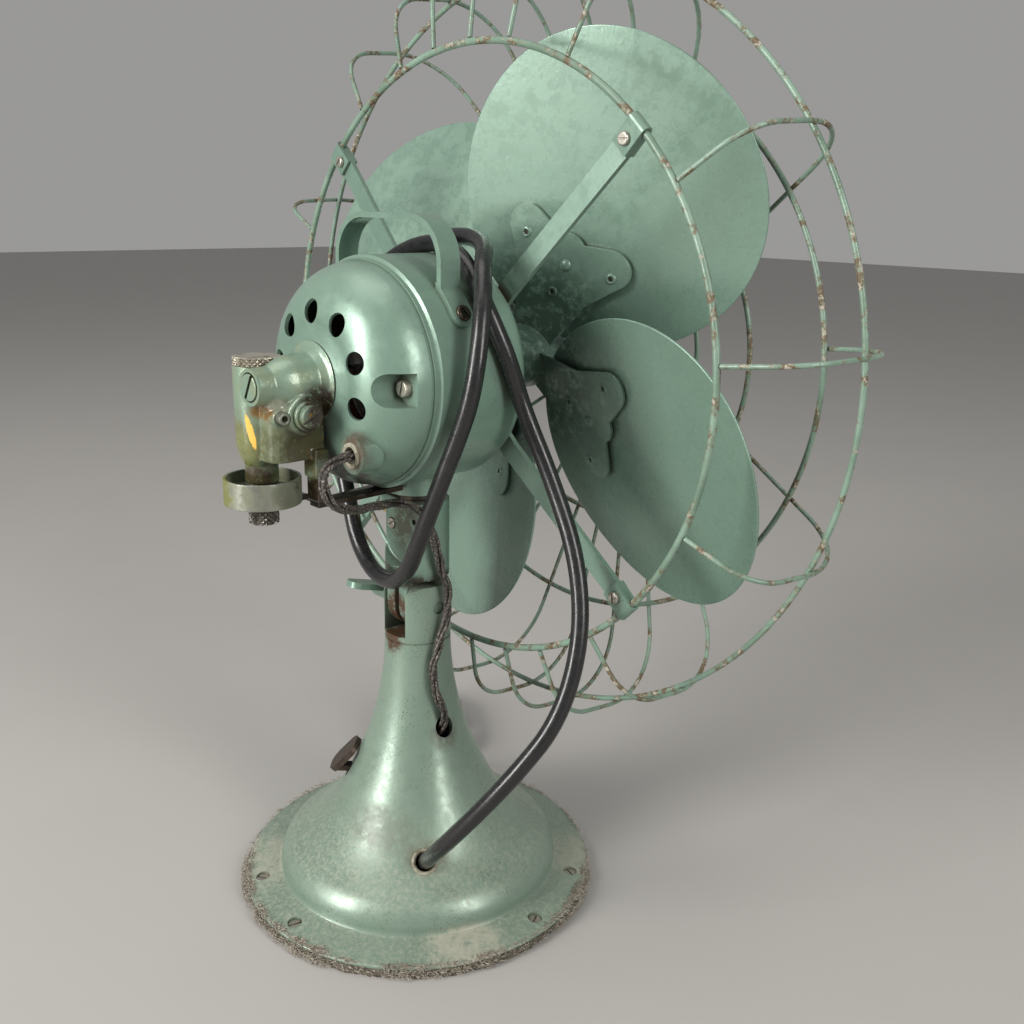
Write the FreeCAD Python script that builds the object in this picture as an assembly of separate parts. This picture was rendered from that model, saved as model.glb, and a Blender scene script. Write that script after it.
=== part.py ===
import FreeCAD, Part
import math
import os

# Oscillating desk fan. The column axis is x = y = 0, the table is z = 0,
# the rotor shaft runs along y and the blades push air toward -y.

# Driving dimensions, in millimetres.
head_height = 263.0
tilt_height = 149.0
base_radius = 89.0
column_radius = 16.3
motor_radius = 51.5
guard_radius = 181.2
cord_diameter = 7.8

# Clearances.
running = 0.06
seat = 0.02
side_gap = 0.3

# Base casting.
felt_thickness = 2.5
flange_width = 15.7
flange_height = 8.0
casting_wall = 3.4
dome_radius = base_radius - flange_width
flange_screw_circle = base_radius - 8.0
flange_screw_angles = [64, 94, 184, 214, 304, 334]
ear_top = tilt_height + 11.2
eyelet_radius = 5.9
eyelet_angle = 144.0
eyelet_spot = (50.0 / 89.0 * base_radius, 33.5 / 149.0 * tilt_height)
eyelet_rise = math.radians(36.0)
lever_height = 0.372 * tilt_height
slot_width = 16.0
slot_bottom = tilt_height - 14.5
tilt_pin_radius = 3.2

# Yoke.
tongue_width = slot_width - 2 * side_gap
tongue_radius = 13.0
yoke_radius = 15.6
yoke_bottom = tilt_height + 14.0
yoke_top = head_height - motor_radius - 10.0
boss_radius = 15.0
boss_bottom = yoke_top + 4.0
pivot_radius = 6.0
link_stud_x = 20.0
link_stud_radius = 2.5

# Motor.
shell_front = -17.0
shell_rear = 30.4
shell_wall = 2.3
bell_front = shell_rear + 1.2
bell_rear = 57.0
bell_radius = motor_radius - 2.2
nose_front = -50.0
shaft_radius = 4.76
bearing_radius = 12.0
vent_count = 6
vent_radius = 4.8
vent_circle = 28.8
vent_first = 9.7
vent_step = 37.5
bolt_floor = motor_radius - 16.0
gland_x = -27.0
gland_z = head_height - 28.0

# Handle.
handle_width = 11.0
handle_middle = 11.5
handle_thickness = 2.5
handle_corner = 20.0
handle_screw_angle = 33.0

# Gear housing.
worm_drop = 12.0
worm_radius = 4.0
second_worm = 3.4
cross_radius = 2.6
strap_top = head_height - motor_radius - 0.1
cross_y = 68.0
cross_height = head_height - worm_drop
spindle_x = 11.0
spindle_y = 76.5
spindle_radius = 3.05
barrel_end = 87.0
barrel_radius = 7.0
case_radius = 10.25
case_top = head_height + 7.3
case_bottom = head_height - 32.0
collar_bottom = head_height - 43.0

# Crank cup, thumb screw and link.
cup_radius = 16.6
cup_height = 11.5
cup_bottom = head_height - 52.5
cup_wall = 1.2
crank_slot_sweep = 36.0
thumb_stem_radius = 2.2
thumb_head_radius = 6.75
web_top = cup_bottom + 5.5
link_thickness = 2.5
link_drop = 5.5
link_high = cup_bottom - 0.3 - link_thickness
link_low = link_high - link_drop

# Fan.
blade_tip_radius = guard_radius - 20.8
blade_count = 4
blade_first_angle = 27.5
blade_plane = -71.5
blade_pitch = 20.0
blade_camber = 450.0
blade_offset = 4.0
blade_thickness = 1.2
arm_thickness = 1.6
hub_radius = 16.0

# Guard.
wire_radius = 1.15
ring_wire_radius = 1.4
rear_wire_radius = 1.7
rear_ring_y = -34.1
rear_ring_radius = 0.787 * guard_radius
outer_ring_y = rear_ring_y - 43.0
front_rings = [(-116.7, 0.781), (-131.0, 0.517), (-136.9, 0.322)]
guard_roll = -6.0
strut_angles = [133, 43, 223, 313]
strut_width = 9.5
strut_thickness = 2.5

# Cords. The tail lies in a hank behind the base, along one line from the column.
wire_bundle = 5.6
hank_heading = math.radians(-39.15)
hank_near = base_radius + 33.0
hank_far = hank_near + 30.0
hank_radius = 25.2
hank_corner = 45.0

# Flat steps across a turned arc, and sides of a guard wire and of a cord.
arc_steps = 5
wire_sides = 6
cord_sides = 8


def vector(x, y, z):
    return FreeCAD.Vector(x, y, z)


def cylinder(radius, start, end):
    along = vector(*end) - vector(*start)
    return Part.makeCylinder(radius, along.Length, vector(*start), along)


def tube(outer, inner, start, end):
    return cylinder(outer, start, end).cut(cylinder(inner, start, end))


def box(low, high):
    size = [high[i] - low[i] for i in range(3)]
    return Part.makeBox(*size, vector(*low))


def outline(points, place):
    """A closed face. A point with four values is an arc's middle and end."""
    corners = [place(*points[0])]
    last = points[0]
    for point in points[1:]:
        if len(point) == 4:
            arc = Part.Arc(place(*last), place(*point[:2]), place(*point[2:])).toShape()
            corners.extend(arc.discretize(arc_steps + 1)[1:])
        else:
            corners.append(place(*point))
        last = point[-2:]
    return Part.Face(Part.makePolygon(corners + corners[:1]))


def upright(points):
    """Turned about the column axis from (radius, height) points."""
    face = outline(points, lambda radius, height: vector(radius, 0, height))
    return face.revolve(vector(0, 0, 0), vector(0, 0, 1), 360)


def turned(points):
    """Turned about the rotor axis from (y, radius) points."""
    face = outline(points, lambda y, radius: vector(radius, y, head_height))
    return face.revolve(vector(0, 0, head_height), vector(0, 1, 0), 360)


def clocked(shape, angle):
    """A copy turned about the rotor axis. 0 is toward +x and 90 is up."""
    copy = shape.copy()
    copy.rotate(vector(0, 0, head_height), vector(0, 1, 0), -angle)
    return copy


def around(radius, angle):
    turn = math.radians(angle)
    return radius * math.cos(turn), radius * math.sin(turn)


def fuse(shapes):
    return shapes[0].multiFuse(shapes[1:]).removeSplitter()


def save(name, shape):
    solids = shape.Solids
    result = solids[0] if len(solids) == 1 else Part.makeCompound(solids)
    result.exportStep("parts/" + name + ".step")


def filleted_run(points, radii, place):
    """A wire of straight runs joined by arcs tangent to both."""
    spots = [place(*point) for point in points]
    edges = []
    last = spots[0]
    for i in range(1, len(spots) - 1):
        before = (spots[i - 1] - spots[i]).normalize()
        after = (spots[i + 1] - spots[i]).normalize()
        half = before.getAngle(after) / 2
        reach = radii[i - 1] / math.tan(half)
        toward = (before + after).normalize()
        start = spots[i] + before * reach
        end = spots[i] + after * reach
        middle = spots[i] + toward * (radii[i - 1] / math.sin(half) - radii[i - 1])
        edges.append(Part.LineSegment(last, start).toShape())
        edges.append(Part.Arc(start, middle, end).toShape())
        last = end
    edges.append(Part.LineSegment(last, spots[-1]).toShape())
    return Part.Wire(edges)


def flat_sided_ring(y, radius, wire):
    corners = []
    for i in range(wire_sides):
        along, out = around(wire, 360 / wire_sides * (i + 0.5))
        corners.append((y + along, radius + out))
    return turned(corners)


def flat_sided_wire(path, wire, side, count):
    """A rod with flat sides along a path whose start is square to the given side."""
    start = path.Edges[0]
    at = start.Vertexes[0].Point
    along = start.tangentAt(start.FirstParameter)
    across = along.cross(side).normalize()
    corners = []
    for i in range(count + 1):
        first, second = around(wire, 360 / count * (i + 0.5))
        corners.append(at + across * first + side * second)
    return path.makePipeShell([Part.makePolygon(corners)], True, False)


# ---------------------------------------------------------------- base

def flare(share):
    return column_radius + share * (dome_radius - column_radius)


def base_casting():
    low = felt_thickness
    shape = upright([
        (0, low), (base_radius, low), (base_radius, low + 2.0), (base_radius - 1.2, low + 3.2),
        (dome_radius, flange_height),
        (flare(0.655), 0.195 * tilt_height, flare(0.346), 0.37 * tilt_height),
        (flare(0.148), 0.545 * tilt_height, column_radius, 0.86 * tilt_height),
        (column_radius, ear_top), (0, ear_top),
    ])
    shape = shape.cut(upright([
        (0, low - 1), (dome_radius - 3.3, low - 1), (dome_radius - 5, flange_height),
        (flare(0.59), 0.185 * tilt_height), (flare(0.285), 0.36 * tilt_height),
        (flare(0.09), 0.54 * tilt_height), (column_radius - 5.5, 0.78 * tilt_height),
        (0, 0.78 * tilt_height),
    ]))
    reach = column_radius + 2
    half_slot = slot_width / 2
    shape = shape.cut(box((-half_slot, -reach, slot_bottom), (half_slot, reach, ear_top + 1)))
    corner = box((-reach, -reach, ear_top - 7), (reach, reach, ear_top + 1))
    crown = box((-reach, -14.3, ear_top - 20), (reach, 14.3, ear_top))
    top_edges = [edge for edge in crown.Edges
                 if abs(edge.CenterOfMass.z - ear_top) < 0.01 and abs(edge.CenterOfMass.x) < 0.01]
    shape = shape.cut(corner.cut(crown.makeFillet(7.0, top_edges)))
    groove = tilt_height - 18.0
    shape = shape.cut(tube(column_radius + 1, column_radius - 0.6, (0, 0, groove), (0, 0, groove + 0.9)))
    pin = tilt_pin_radius + running
    shape = shape.cut(cylinder(pin, (-column_radius - 1, 0, tilt_height), (column_radius + 1, 0, tilt_height)))
    hole_x, hole_y = around(1, 176)
    wire_z = 0.61 * tilt_height
    shape = shape.cut(cylinder(5.0, (14 * hole_x, 14 * hole_y, wire_z - 9.5), (36 * hole_x, 36 * hole_y, wire_z + 9)))
    inside, outside = eyelet_line(-20, 12)
    shape = shape.cut(cylinder(eyelet_radius + seat, inside, outside))
    sweep = box((18, 0, lever_height - 3.2), (60, 0.1, lever_height + 3.2))
    face = [f for f in sweep.Faces if abs(f.CenterOfMass.y) < 0.001][0]
    slot = face.revolve(vector(0, 0, 0), vector(0, 0, 1), 60)
    slot.rotate(vector(0, 0, 0), vector(0, 0, 1), -7)
    shape = shape.cut(slot)
    for angle in flange_screw_angles:
        x, y = around(flange_screw_circle, angle)
        shape = shape.cut(cylinder(3.5, (x, y, low + 1.6), (x, y, low + 9)))
    return shape


def eyelet_line(start, end):
    """Two points on the line square to the dome through the cord's eyelet."""
    spots = []
    for along in (start, end):
        x, y = around(eyelet_spot[0] + along * math.cos(eyelet_rise), eyelet_angle)
        spots.append((x, y, eyelet_spot[1] + along * math.sin(eyelet_rise)))
    return spots


def cord_eyelet():
    body = cylinder(eyelet_radius, *eyelet_line(-4.0, 0.5))
    rim = cylinder(eyelet_radius + 1.5, *eyelet_line(0.4, 2.0))
    return fuse([body, rim]).cut(cylinder(cord_diameter / 2 + 0.35, *eyelet_line(-6, 4)))


def base_pieces():
    low = felt_thickness
    save("base_casting", base_casting())
    save("base_felt", tube(base_radius + 0.6, dome_radius - 12, (0, 0, 0), (0, 0, low)))
    save("base_plate", cylinder(dome_radius - 4.5, (0, 0, low), (0, 0, low + 1.5)))
    screws = []
    for angle in flange_screw_angles:
        x, y = around(flange_screw_circle, angle)
        screws.append(cylinder(3.5 - seat, (x, y, low + 1.6), (x, y, low + 3.2)))
    save("flange_screws", Part.makeCompound(screws))
    save("cord_eyelet", cord_eyelet())
    top = low + 1.5
    save("speed_coil", tube(26, 13, (0, 0, top), (0, 0, top + 14)))
    post = cylinder(3.0, (0, 0, lever_height - 8), (0, 0, lever_height + 5))
    save("switch_body", fuse([cylinder(11, (0, 0, top + 14), (0, 0, lever_height - 4)), post]))


def switch_lever():
    half = 1.5
    hub = cylinder(7, (0, 0, lever_height - 2), (0, 0, lever_height + 2))
    stem_end = dome_radius * 0.58
    stem = box((4, -2.5, lever_height - half), (stem_end + 1.5, 2.5, lever_height + half))
    paddle = box((-10, -8, -half), (10, 8, half))
    upright_edges = [edge for edge in paddle.Edges
                     if abs(edge.CenterOfMass.z) < 0.01 and abs(edge.CenterOfMass.x) > 9]
    paddle = paddle.makeFillet(6.0, upright_edges)
    paddle.rotate(vector(0, 0, 0), vector(0, 1, 0), 47)
    paddle.translate(vector(stem_end - 5.0, 0, lever_height + 7.2))
    lever = fuse([hub, stem, paddle])
    lever = lever.cut(cylinder(3.0 + running, (0, 0, lever_height - 9), (0, 0, lever_height + 9)))
    lever.rotate(vector(0, 0, 0), vector(0, 0, 1), 45)
    return lever


def wing_screw():
    start = column_radius + 1.2
    shank = cylinder(tilt_pin_radius, (-column_radius + 1, 0, tilt_height), (start + 2, 0, tilt_height))
    collar = cylinder(6.5, (start, 0, tilt_height), (start + 12, 0, tilt_height))
    wings = box((start + 1.5, -24, tilt_height - 1.5), (start + 12, 24, tilt_height + 1.5))
    tip_edges = [edge for edge in wings.Edges
                 if abs(edge.CenterOfMass.z - tilt_height) < 0.01]
    wings = wings.makeFillet(4.5, tip_edges)
    wings.rotate(vector(0, 0, tilt_height), vector(1, 0, 0), 16)
    return fuse([shank, collar, wings])


# ---------------------------------------------------------------- yoke

def yoke():
    barrel = cylinder(yoke_radius, (0, 0, yoke_bottom), (0, 0, yoke_top))
    half = tongue_width / 2
    tongue = fuse([
        cylinder(tongue_radius, (-half, 0, tilt_height), (half, 0, tilt_height)),
        box((-half, -tongue_radius, tilt_height), (half, tongue_radius, yoke_bottom + 1)),
    ])
    groove = tube(tongue_radius + 1, tongue_radius - 3, (-1.5, 0, tilt_height), (1.5, 0, tilt_height))
    tongue = tongue.cut(groove.cut(box((-2, -20, tilt_height), (2, 20, tilt_height + 20))))
    tongue = tongue.cut(box((-1.5, tongue_radius - 3, tilt_height), (1.5, 20, yoke_bottom - 1)))
    tongue = tongue.cut(box((-1.5, -20, tilt_height), (1.5, 3 - tongue_radius, yoke_bottom - 1)))
    ear_low = link_low - 6.5
    ear = fuse([
        cylinder(5.5, (link_stud_x, 0, ear_low), (link_stud_x, 0, yoke_top)),
        box((pivot_radius + 3, -5.5, ear_low), (link_stud_x, 5.5, yoke_top)),
    ])
    shape = fuse([barrel, tongue, ear])
    face = 9.0
    mill = 14.0
    mill_height = yoke_bottom + 21
    shape = shape.cut(cylinder(mill, (0, face, mill_height), (0, face + 20, mill_height)))
    shape = shape.cut(box((-mill, face, mill_height), (mill, face + 20, yoke_top + 1)))
    shape = shape.cut(cylinder(pivot_radius + running, (0, 0, yoke_bottom + 5), (0, 0, yoke_top + 1)))
    half_pin = tilt_pin_radius + running
    shape = shape.cut(cylinder(half_pin, (-20, 0, tilt_height), (20, 0, tilt_height)))
    stud = link_stud_radius + seat
    shape = shape.cut(cylinder(stud, (link_stud_x, 0, ear_low - 1), (link_stud_x, 0, link_low + 1)))
    screw_z = yoke_bottom + 25
    shape = shape.cut(cylinder(2.6, (8.2, face - 2.5, screw_z), (8.2, face + 5, screw_z)))
    return shape.cut(cylinder(1.3, (-8.4, face - 3, screw_z + 4), (-8.4, face + 5, screw_z + 4)))


def yoke_pieces():
    save("yoke", yoke())
    screw_z = yoke_bottom + 25
    save("yoke_screw", cylinder(2.6 - seat, (8.2, 6.6, screw_z), (8.2, 9.8, screw_z)))
    top = link_low + link_thickness + 0.2
    stud = cylinder(link_stud_radius, (link_stud_x, 0, link_low - 13), (link_stud_x, 0, top + 1))
    head = cylinder(4.2, (link_stud_x, 0, top), (link_stud_x, 0, top + 2))
    nut = cylinder(4.4, (link_stud_x, 0, link_low - 12), (link_stud_x, 0, link_low - 6.5))
    save("link_stud", fuse([stud, head, nut]))


# ---------------------------------------------------------------- motor

def motor_shell():
    inner = motor_radius - shell_wall
    lip = motor_radius - 1.4
    shape = turned([
        (shell_front, inner), (shell_front, motor_radius - 0.5), (shell_front + 0.6, motor_radius),
        (shell_rear - 3, motor_radius), (shell_rear - 2.2, lip), (shell_rear, lip),
        (shell_rear, inner),
    ])
    boss = cylinder(boss_radius, (0, 0, boss_bottom), (0, 0, head_height - motor_radius + 12))
    boss = boss.cut(cylinder(motor_radius - 0.6, (0, -40, head_height), (0, 40, head_height)))
    shape = fuse([shape, boss])
    spigot = cylinder(4 + seat, (0, 0, boss_bottom - 1), (0, 0, boss_bottom + 5))
    return shape.cut(spigot)


def pivot_stud():
    stem = cylinder(pivot_radius, (0, 0, yoke_bottom + 6), (0, 0, boss_bottom))
    collar = cylinder(9, (0, 0, yoke_top + 0.1), (0, 0, boss_bottom))
    return fuse([stem, collar, cylinder(4, (0, 0, boss_bottom), (0, 0, boss_bottom + 4.5))])


def front_bell():
    face = shell_front - 7.0
    rim = motor_radius - 1.0
    return turned([
        (shell_front, rim - 4), (shell_front, rim),
        (face + 2.2, rim - 1.6, face, rim - 6.5),
        (face, 19), (face - 5, 17.5), (nose_front + 6, 15.5),
        (nose_front, 10), (nose_front, shaft_radius + 0.5), (nose_front + 4, shaft_radius + 0.5),
        (nose_front + 4, bearing_radius), (face + 2.5, bearing_radius), (face + 2.5, rim - 8),
    ])


def rear_bell():
    spigot = motor_radius - shell_wall - seat
    edge = bell_radius
    shape = turned([
        (bell_front - 3.2, spigot - 2.6), (bell_front - 3.2, spigot), (bell_front, spigot),
        (bell_front, edge), (bell_front + 2.4, edge - 0.4),
        (bell_front + 16.7, edge - 7.9, bell_rear - 2.2, 22), (bell_rear, 15),
        (bell_rear, 9), (bell_rear - 6, 9), (bell_rear - 6, 22),
        (bell_front + 13.5, edge - 12), (bell_front + 4, edge - 4.3),
    ])
    filled = turned([
        (bell_front, 0), (bell_front, edge), (bell_front + 2.4, edge - 0.4),
        (bell_front + 16.7, edge - 7.9, bell_rear - 2.2, 22), (bell_rear - 2.2, 0),
    ])
    wall = bell_front + 6.4
    for side in (0, 180):
        block = clocked(box((bolt_floor - 3, wall - 3, head_height - 10), (60, bell_rear, head_height + 10)), side)
        shape = shape.fuse(block.common(filled))
        pocket = box((bolt_floor, wall, head_height - 7), (70, bell_rear + 9, head_height + 7))
        floor_edges = [line for line in pocket.Edges
                       if abs(line.CenterOfMass.x - bolt_floor) < 0.01 and line.BoundBox.YLength > 5]
        shape = shape.cut(clocked(pocket.makeFillet(3.5, floor_edges), side))
    for i in range(vent_count):
        vent = cylinder(vent_radius, (vent_circle - 8, bell_rear - 16, head_height),
                        (vent_circle + 7, bell_rear + 8, head_height))
        shape = shape.cut(clocked(vent, vent_first + i * vent_step))
    boss = cylinder(8, (gland_x, bell_rear - 20, gland_z), (gland_x, bell_rear - 0.5, gland_z))
    shape = shape.fuse(boss.cut(turned([(0, 0), (0, edge - 8), (bell_front + 12, edge - 9), (bell_front + 12, 0)])))
    hole = cylinder(5.5, (gland_x, bell_rear - 26, gland_z), (gland_x, bell_rear + 2, gland_z))
    return shape.cut(hole).removeSplitter()


def handle():
    width = handle_width
    thick = handle_thickness
    half = 0.7 * motor_radius
    top = head_height + motor_radius + 17.5
    low = (handle_middle - width / 2, head_height + 20)
    outer = box((-half - thick / 2, low[0], low[1]), (half + thick / 2, low[0] + width, top))
    inner = box((-half + thick / 2, low[0] - 1, low[1] - 1), (half - thick / 2, low[0] + width + 1, top - thick))
    corners = [edge for edge in outer.Edges
               if edge.BoundBox.YLength > width - 1 and abs(edge.CenterOfMass.z - top) < 0.01]
    outer = outer.makeFillet(handle_corner, corners)
    corners = [edge for edge in inner.Edges
               if edge.BoundBox.YLength > width - 1 and abs(edge.CenterOfMass.z - top + thick) < 0.01]
    inner = inner.makeFillet(handle_corner - thick, corners)
    shell = motor_radius + seat
    clear = cylinder(shell, (0, -10, head_height), (0, 40, head_height))
    arch = outer.cut(inner).cut(clear)
    shapes = [arch]
    for side in (-1, 1):
        foot = tube(shell + thick, shell, (0, low[0], head_height), (0, low[0] + width, head_height))
        keep = box((0.66 * motor_radius, low[0] - 1, head_height + 20), (60, low[0] + width + 1, 400))
        keep = keep.common(box((0, -20, head_height + 0.46 * motor_radius), (70, 40, 400)))
        foot = foot.common(keep)
        shapes.append(foot if side > 0 else foot.mirror(vector(0, 0, 0), vector(1, 0, 0)))
    return fuse(shapes)


def handle_screws():
    screws = []
    for angle in (handle_screw_angle, 180 - handle_screw_angle):
        start = motor_radius + handle_thickness + 0.05
        screw = cylinder(3.6, (start, handle_middle, head_height), (start + 1.6, handle_middle, head_height))
        screws.append(clocked(screw, angle))
    return Part.makeCompound(screws)


def motor_pieces():
    save("motor_shell", motor_shell())
    save("front_bell", front_bell())
    save("rear_bell", rear_bell())
    save("pivot_stud", pivot_stud())
    save("handle", handle())
    save("handle_screws", handle_screws())
    grommet = tube(5.5 - seat, 3.6, (gland_x, bell_rear - 5, gland_z), (gland_x, bell_rear + 0.6, gland_z))
    save("wire_grommet", grommet)
    bolt_at = bolt_floor + 5
    bolt = cylinder(3.6, (bolt_at, bell_front + 6.4, head_height), (bolt_at, bell_front + 9.4, head_height))
    save("through_bolts", Part.makeCompound([bolt, clocked(bolt, 180)]))
    centre = (0, head_height)
    stator = motor_radius - shell_wall - 0.05
    save("stator_core", tube(stator, 28, (0, -14, centre[1]), (0, 18, centre[1])))
    coils = [tube(44, 30, (0, 18, centre[1]), (0, 26, centre[1])),
             tube(42, 30, (0, -20, centre[1]), (0, -14, centre[1]))]
    save("windings", Part.makeCompound(coils))
    bore = shaft_radius + running
    front = shell_front - 4.5
    save("front_bearing", tube(bearing_radius - 0.05, bore, (0, nose_front + 4, centre[1]), (0, front, centre[1])))
    save("rear_bearing", tube(9 - 0.05, bore, (0, bell_rear - 6, centre[1]), (0, bell_rear, centre[1])))


# ---------------------------------------------------------------- gear housing

def gear_housing():
    start = bell_rear
    hood = turned([
        (start, 0), (start, 25), (start + 5, 18.5, start + 13, 12.5), (start + 22, 8.5),
        (barrel_end, barrel_radius), (barrel_end, 0),
    ])
    case = cylinder(case_radius, (spindle_x, spindle_y, case_bottom), (spindle_x, spindle_y, case_top))
    taper = Part.makeCone(barrel_radius + 0.2, case_radius, 3, vector(spindle_x, spindle_y, case_bottom - 3))
    collar = cylinder(7.15, (spindle_x, spindle_y, collar_bottom), (spindle_x, spindle_y, case_bottom - 3))
    body = box((-8, start, case_bottom), (spindle_x + 8, spindle_y + 5, head_height))
    edges = [edge for edge in body.Edges
             if edge.BoundBox.ZLength > 5 and edge.CenterOfMass.y > start + 5]
    body = body.makeFillet(6.0, edges)
    cross = cylinder(8.5, (-12, cross_y, cross_height), (spindle_x, cross_y, cross_height))
    lug = box((-10, start, strap_top), (-1, start + 5, case_bottom + 2))
    shape = fuse([hood, case, taper, collar, body, cross, lug])
    shape = shape.cut(cylinder(5.4, (0, start - 1, head_height), (0, barrel_end - 3, head_height)))
    shape = shape.cut(cylinder(6, (0, barrel_end - 3, head_height), (0, barrel_end + 1, head_height)))
    wheel_room = cylinder(8.8, (-5, cross_y, cross_height), (5, cross_y, cross_height))
    shape = shape.cut(wheel_room)
    bore = cross_radius + running
    shape = shape.cut(cylinder(bore, (-13, cross_y, cross_height), (spindle_x + 6, cross_y, cross_height)))
    shape = shape.cut(cylinder(4.2, (5, cross_y, cross_height), (spindle_x + 5, cross_y, cross_height)))
    shape = shape.cut(cylinder(6.5, (-30, cross_y, cross_height), (-9, cross_y, cross_height)))
    at = (spindle_x, spindle_y)
    shape = shape.cut(cylinder(case_radius + 0.4, (*at, case_top), (*at, case_top + 30)))
    shape = shape.cut(cylinder(6.2, (*at, cross_height - 5), (*at, case_top + 1)))
    shape = shape.cut(cylinder(spindle_radius + running, (*at, collar_bottom - 1), (*at, cross_height)))
    return shape.cut(cylinder(2.5, oil_spot(-4), oil_spot(6)))


def oil_spot(along):
    return (-6.5 - along, spindle_y + 1.5, cross_height - 0.5)


def gear_pieces():
    save("gear_housing", gear_housing())
    plug = cylinder(6 - seat, (0, barrel_end - 3, head_height), (0, barrel_end + 1.7, head_height))
    side_plug = cylinder(6.5 - seat, (-17, cross_y, cross_height), (-9, cross_y, cross_height))
    save("slotted_plugs", Part.makeCompound([plug, side_plug]))
    save("oil_tube", tube(2.5 - seat, 1.4, oil_spot(0), oil_spot(5)))
    strap = box((-9, boss_radius + 0.2, strap_top - 2.5), (-2, bell_rear + 4.5, strap_top))
    save("housing_strap", strap)
    at = (spindle_x, spindle_y)
    low = case_top + 0.1
    cap = fuse([
        cylinder(case_radius, (*at, low), (*at, low + 3.7)),
        cylinder(6.2 - running, (*at, low - 4), (*at, low)),
    ])
    save("grease_cap", cap)
    cross = fuse([
        cylinder(cross_radius, (-8.7, cross_y, cross_height), (spindle_x + 5.7, cross_y, cross_height)),
        cylinder(worm_drop - worm_radius - 0.15, (-4, cross_y, cross_height), (4, cross_y, cross_height)),
        cylinder(second_worm, (6, cross_y, cross_height), (spindle_x + 4.5, cross_y, cross_height)),
    ])
    save("cross_shaft", cross)
    wheel = spindle_y - cross_y - second_worm - 0.15
    spindle = fuse([
        cylinder(spindle_radius, (*at, web_top), (*at, cross_height + 9)),
        cylinder(wheel, (*at, cross_height - 4.5), (*at, cross_height + 4.5)),
    ])
    save("crank_spindle", spindle)


# ---------------------------------------------------------------- crank, thumb screw and link

def crank_cup():
    at = (spindle_x, spindle_y)
    top = cup_bottom + cup_height
    shape = cylinder(cup_radius, (*at, cup_bottom), (*at, top))
    shape = shape.cut(cylinder(cup_radius - cup_wall, (*at, web_top), (*at, top + 1)))
    shape = shape.cut(cylinder(cup_radius - cup_wall, (*at, cup_bottom + 1.5), (*at, web_top - 1.5)))
    hub = cylinder(7, (*at, web_top - 1), (*at, collar_bottom - side_gap))
    shape = fuse([shape, hub])
    shape = shape.cut(cylinder(spindle_radius + seat, (*at, web_top), (*at, top + 9)))
    half = thumb_stem_radius + 0.25
    centre = (spindle_x - link_stud_x, spindle_y)
    slot = tube(link_stud_x + half, link_stud_x - half, (*centre, cup_bottom - 1), (*centre, cup_bottom + 2))
    reach = link_stud_x * 2
    away_x, away_y = around(reach, crank_slot_sweep)
    wedge = Part.Face(Part.makePolygon([
        vector(*centre, cup_bottom - 1),
        vector(centre[0] + away_x, centre[1] - away_y, cup_bottom - 1),
        vector(centre[0] + away_x, centre[1] + away_y, cup_bottom - 1),
        vector(*centre, cup_bottom - 1),
    ])).extrude(vector(0, 0, 3))
    shape = shape.cut(slot.common(wedge))
    for side in (-1, 1):
        end_x, end_y = around(link_stud_x, side * crank_slot_sweep)
        end = (centre[0] + end_x, centre[1] + end_y)
        shape = shape.cut(cylinder(half, (*end, cup_bottom - 1), (*end, cup_bottom + 1.6)))
    return shape


def thumb_screw():
    at = (spindle_x, spindle_y)
    head_top = link_high - 0.25
    return fuse([
        cylinder(thumb_stem_radius, (*at, head_top - 1), (*at, cup_bottom + 3)),
        cylinder(thumb_head_radius, (*at, head_top - 6), (*at, head_top)),
        cylinder(3.1, (*at, cup_bottom + 1.75), (*at, cup_bottom + 3.3)),
    ])


def link():
    start = (link_stud_x, 0.0)
    end = (spindle_x, spindle_y)
    length = math.hypot(end[0] - start[0], end[1] - start[1])
    side = outline([
        (-8, link_low), (45, link_low), (56, link_high), (length + 8, link_high),
        (length + 8, link_high + link_thickness), (55, link_high + link_thickness),
        (44, link_low + link_thickness), (-8, link_low + link_thickness),
    ], lambda along, z: vector(along, -8, z)).extrude(vector(0, 16, 0))
    low = link_low - 2
    high = cup_bottom + 2
    plan = fuse([
        cylinder(5.0, (0, 0, low), (0, 0, high)),
        cylinder(5.6, (length, 0, low), (length, 0, high)),
        box((0, -3.2, low), (length, 3.2, high)),
    ])
    bar = side.common(plan)
    bar = bar.cut(cylinder(link_stud_radius + running, (0, 0, low), (0, 0, high)))
    bar = bar.cut(cylinder(thumb_stem_radius + running, (length, 0, low), (length, 0, high)))
    bar.rotate(vector(0, 0, 0), vector(0, 0, 1), math.degrees(math.atan2(end[1] - start[1], end[0] - start[0])))
    bar.translate(vector(*start, 0))
    return bar


# ---------------------------------------------------------------- fan

def camber_shell(inner, outer):
    """A curved sheet that leans by the blade pitch, lying about clock angle 0."""
    lean = math.radians(blade_pitch)
    y = blade_plane - blade_camber * math.cos(lean)
    z = head_height - blade_camber * math.sin(lean)
    return tube(blade_camber + outer, blade_camber + inner, (0, y, z), (blade_tip_radius + 9, y, z))


def blade():
    centre = 0.557 * blade_tip_radius
    half_length = blade_tip_radius - centre
    half_width = 0.44 * blade_tip_radius
    start = vector(centre, 0, head_height + blade_offset)
    rim = Part.Ellipse(start + vector(half_length, 0, 0), start + vector(0, 0, half_width), start).toShape()
    prism = Part.Face(Part.Wire(rim)).extrude(vector(0, 130, 0))
    prism.translate(vector(0, blade_plane - 65, 0))
    return prism.common(camber_shell(-blade_thickness / 2, blade_thickness / 2))


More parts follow.
